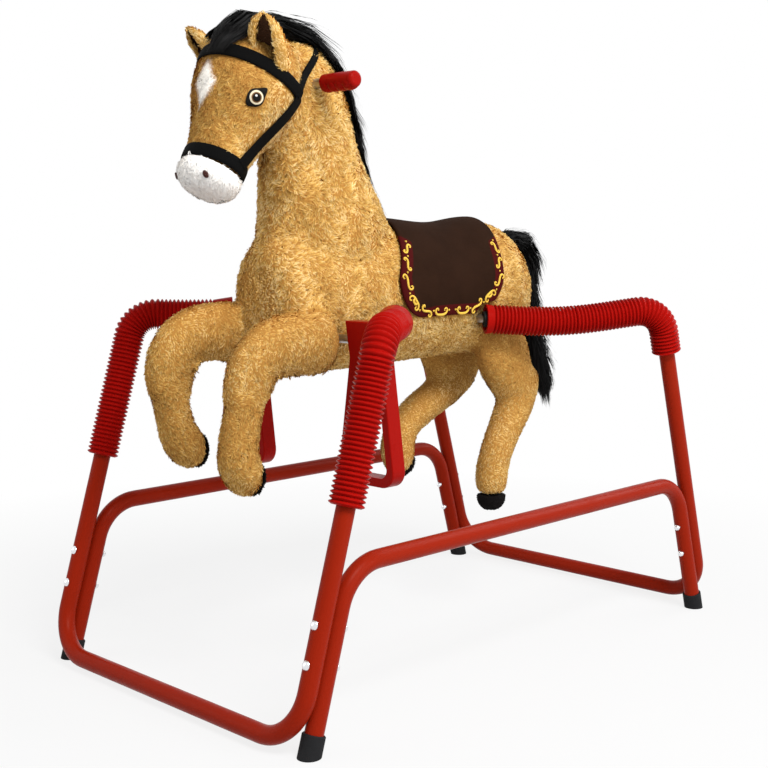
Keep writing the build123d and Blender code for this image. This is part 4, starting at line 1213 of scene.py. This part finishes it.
def hair_hank(name, line, seeds, first, spread, length, around, fan, droop, wave, width, seed, lean=0.0, pieces=10):
    """Long hairs that follow a form's line, spread round its outside and free at their ends."""
    run, stations = line
    rng = np.random.default_rng(seed)
    at = first + rng.uniform(*spread, seeds)
    reach = length(rng, at)
    angle = around(rng, at)
    deep = rng.uniform(*hair_depth, seeds)
    lean_out = fan(rng, at)
    over = rng.uniform(*hair_clear, seeds)
    tall = np.linspace(0, 1, pieces + 1)
    rows = []
    for step in tall:
        spot = at + reach * step
        inside = np.clip(spot, run[0], run[-1])
        beyond = spot - inside
        y, z, out_y, out_z, half_x, half_d = (np.interp(inside, run, stations[:, i]) for i in range(6))
        swell = deep * (1 + lean_out * step**1.5)
        along_y, along_z = out_z, -out_y
        x = np.sin(angle) * half_x * swell
        rise = np.cos(angle) * half_d * swell
        y = y + out_y * rise + along_y * beyond
        z = z + out_z * rise + along_z * beyond - droop * step**2
        place = np.stack((x, y, z), axis=1)
        sway = wave * step * np.stack([waves(place + 3.0 * k, 0.11, seed + k) for k in range(3)], axis=1)
        place = place + sway + np.outer(np.full(seeds, lean * step**1.3), (1, 0, 0))
        for number, spot in enumerate(place):
            near, out = hide_tree.find_nearest(Vector(spot))[:2]
            if (Vector(spot) - near).dot(out) < over[number]:
                place[number] = near + out * over[number]
        rows.append(place)
    rows = np.array(rows).transpose(1, 0, 2)
    ways = unit(np.gradient(rows, axis=1).reshape(-1, 3)).reshape(rows.shape)
    middle = np.stack([np.zeros(seeds), *(np.interp(at, run, stations[:, i]) for i in range(2))], axis=1)
    outs = unit((rows - middle[:, None]).reshape(-1, 3) + 1e-6).reshape(rows.shape)
    across = unit(np.cross(ways, outs).reshape(-1, 3) + rng.normal(0, 0.2, (rows.size // 3, 3))).reshape(rows.shape)
    half = width * rng.uniform(0.6, 1.2, (seeds, 1)) * np.interp(tall, (0, 0.15, 0.7, 1), (0.6, 1, 0.8, 0.05))
    strip = np.stack((rows - across * half[:, :, None], rows + across * half[:, :, None]), axis=2)
    base = np.arange(seeds)[:, None] * (2 * (pieces + 1)) + np.arange(pieces) * 2
    faces = np.stack((base, base + 1, base + 3, base + 2), axis=-1).reshape(-1, 4)
    piece = new_piece(name, strip.reshape(-1, 3), faces, [hair_black])
    tone = np.repeat(rng.normal(0.1, 0.12, seeds), 2 * (pieces + 1))
    # Each hair is painted darker at its root, painted shade, and lighter towards its end, a painted highlight.
    paint(piece.data, "along", np.tile(np.repeat(tall * 0.7, 2), seeds))
    paint(piece.data, "shade", tone)
    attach(piece, "horse")


mane_line = limb_line(-0.404, 0.982, 56, (
    (0, 0, 10, 8), (26, -12, 20, 16), (40, -22, 25, 20), (52, -28, 26, 20), (56, -24, 24, 22),
    (60, -24, 22, 24), (60, -10, 20, 24), (60, -2, 16, 20), (44, 4, 6, 8),
))
parting = 0.085
core_mesh = skin_of("mane_core", ["mane"], 0.004, 4, 0.003)
mane_core = bare_skin("mane_core", core_mesh, hair_black, along=0.2, shade=0.0)
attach(mane_core, "horse")
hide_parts("mane")
hair_hank(
    "forelock", mane_line, 1900, parting, (-0.03, 0.06),
    lambda rng, at: -(at + rng.uniform(-0.024, 0.010, len(at))),
    between(-0.6, 1.5), between(0.0, 1.1), 0.006, 0.005, 0.0011, 131, lean=0.014,
)
hair_hank(
    "mane_crest", mane_line, 3000, parting, (0.0, 0.18), between(0.09, 0.17), between(-1.75, 1.75),
    lambda rng, at: rng.uniform(0.0, 1.5, len(at)) * np.interp(at - parting, (0.0, 0.16), (1.0, 0.25)),
    0.006, 0.005, 0.0011, 132, lean=0.010,
)
hair_hank(
    "mane_roots", mane_line, 1400, parting, (-0.085, 0.13), between(0.05, 0.08),
    lambda rng, at: rng.choice((-1, 1), len(at)) * rng.uniform(1.2, 2.5, len(at)),
    between(0.0, 0.5), 0.004, 0.003, 0.0013, 134,
)
hair_hank(
    "mane_wisps", mane_line, 500, parting, (0.05, 0.22), between(0.12, 0.20), between(-0.7, 0.9),
    between(0.2, 1.2), 0.010, 0.008, 0.0013, 133, lean=0.012,
)

# The tail is a full plume of the same black hair round a stuffed core.
# It is sewn in at the top of the rump, arches up and hangs free.
tail_line = limb_line(0.262, 0.694, 28, (
    (0, 0, 12, 12), (32, -18, 18, 18), (34, -46, 22, 22), (38, -46, 23, 23), (58, -4, 19, 18),
    (80, 12, 21, 20), (72, 6, 21, 20), (44, 4, 15, 14), (20, 0, 6, 6),
))
core_mesh = skin_of("tail_core", ["tail"], 0.004, 4, 0.004)
tail_core = bare_skin("tail_core", core_mesh, hair_black, along=0.2, shade=0.0)
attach(tail_core, "horse")
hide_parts("tail")
hair_hank(
    "tail_plume", tail_line, 5200, 0.0, (0.0, 0.34), between(0.035, 0.075), between(-pi, pi),
    lambda rng, at: rng.uniform(0.0, 1.05, len(at)) ** 1.4, 0.006, 0.004, 0.0009, 141,
)
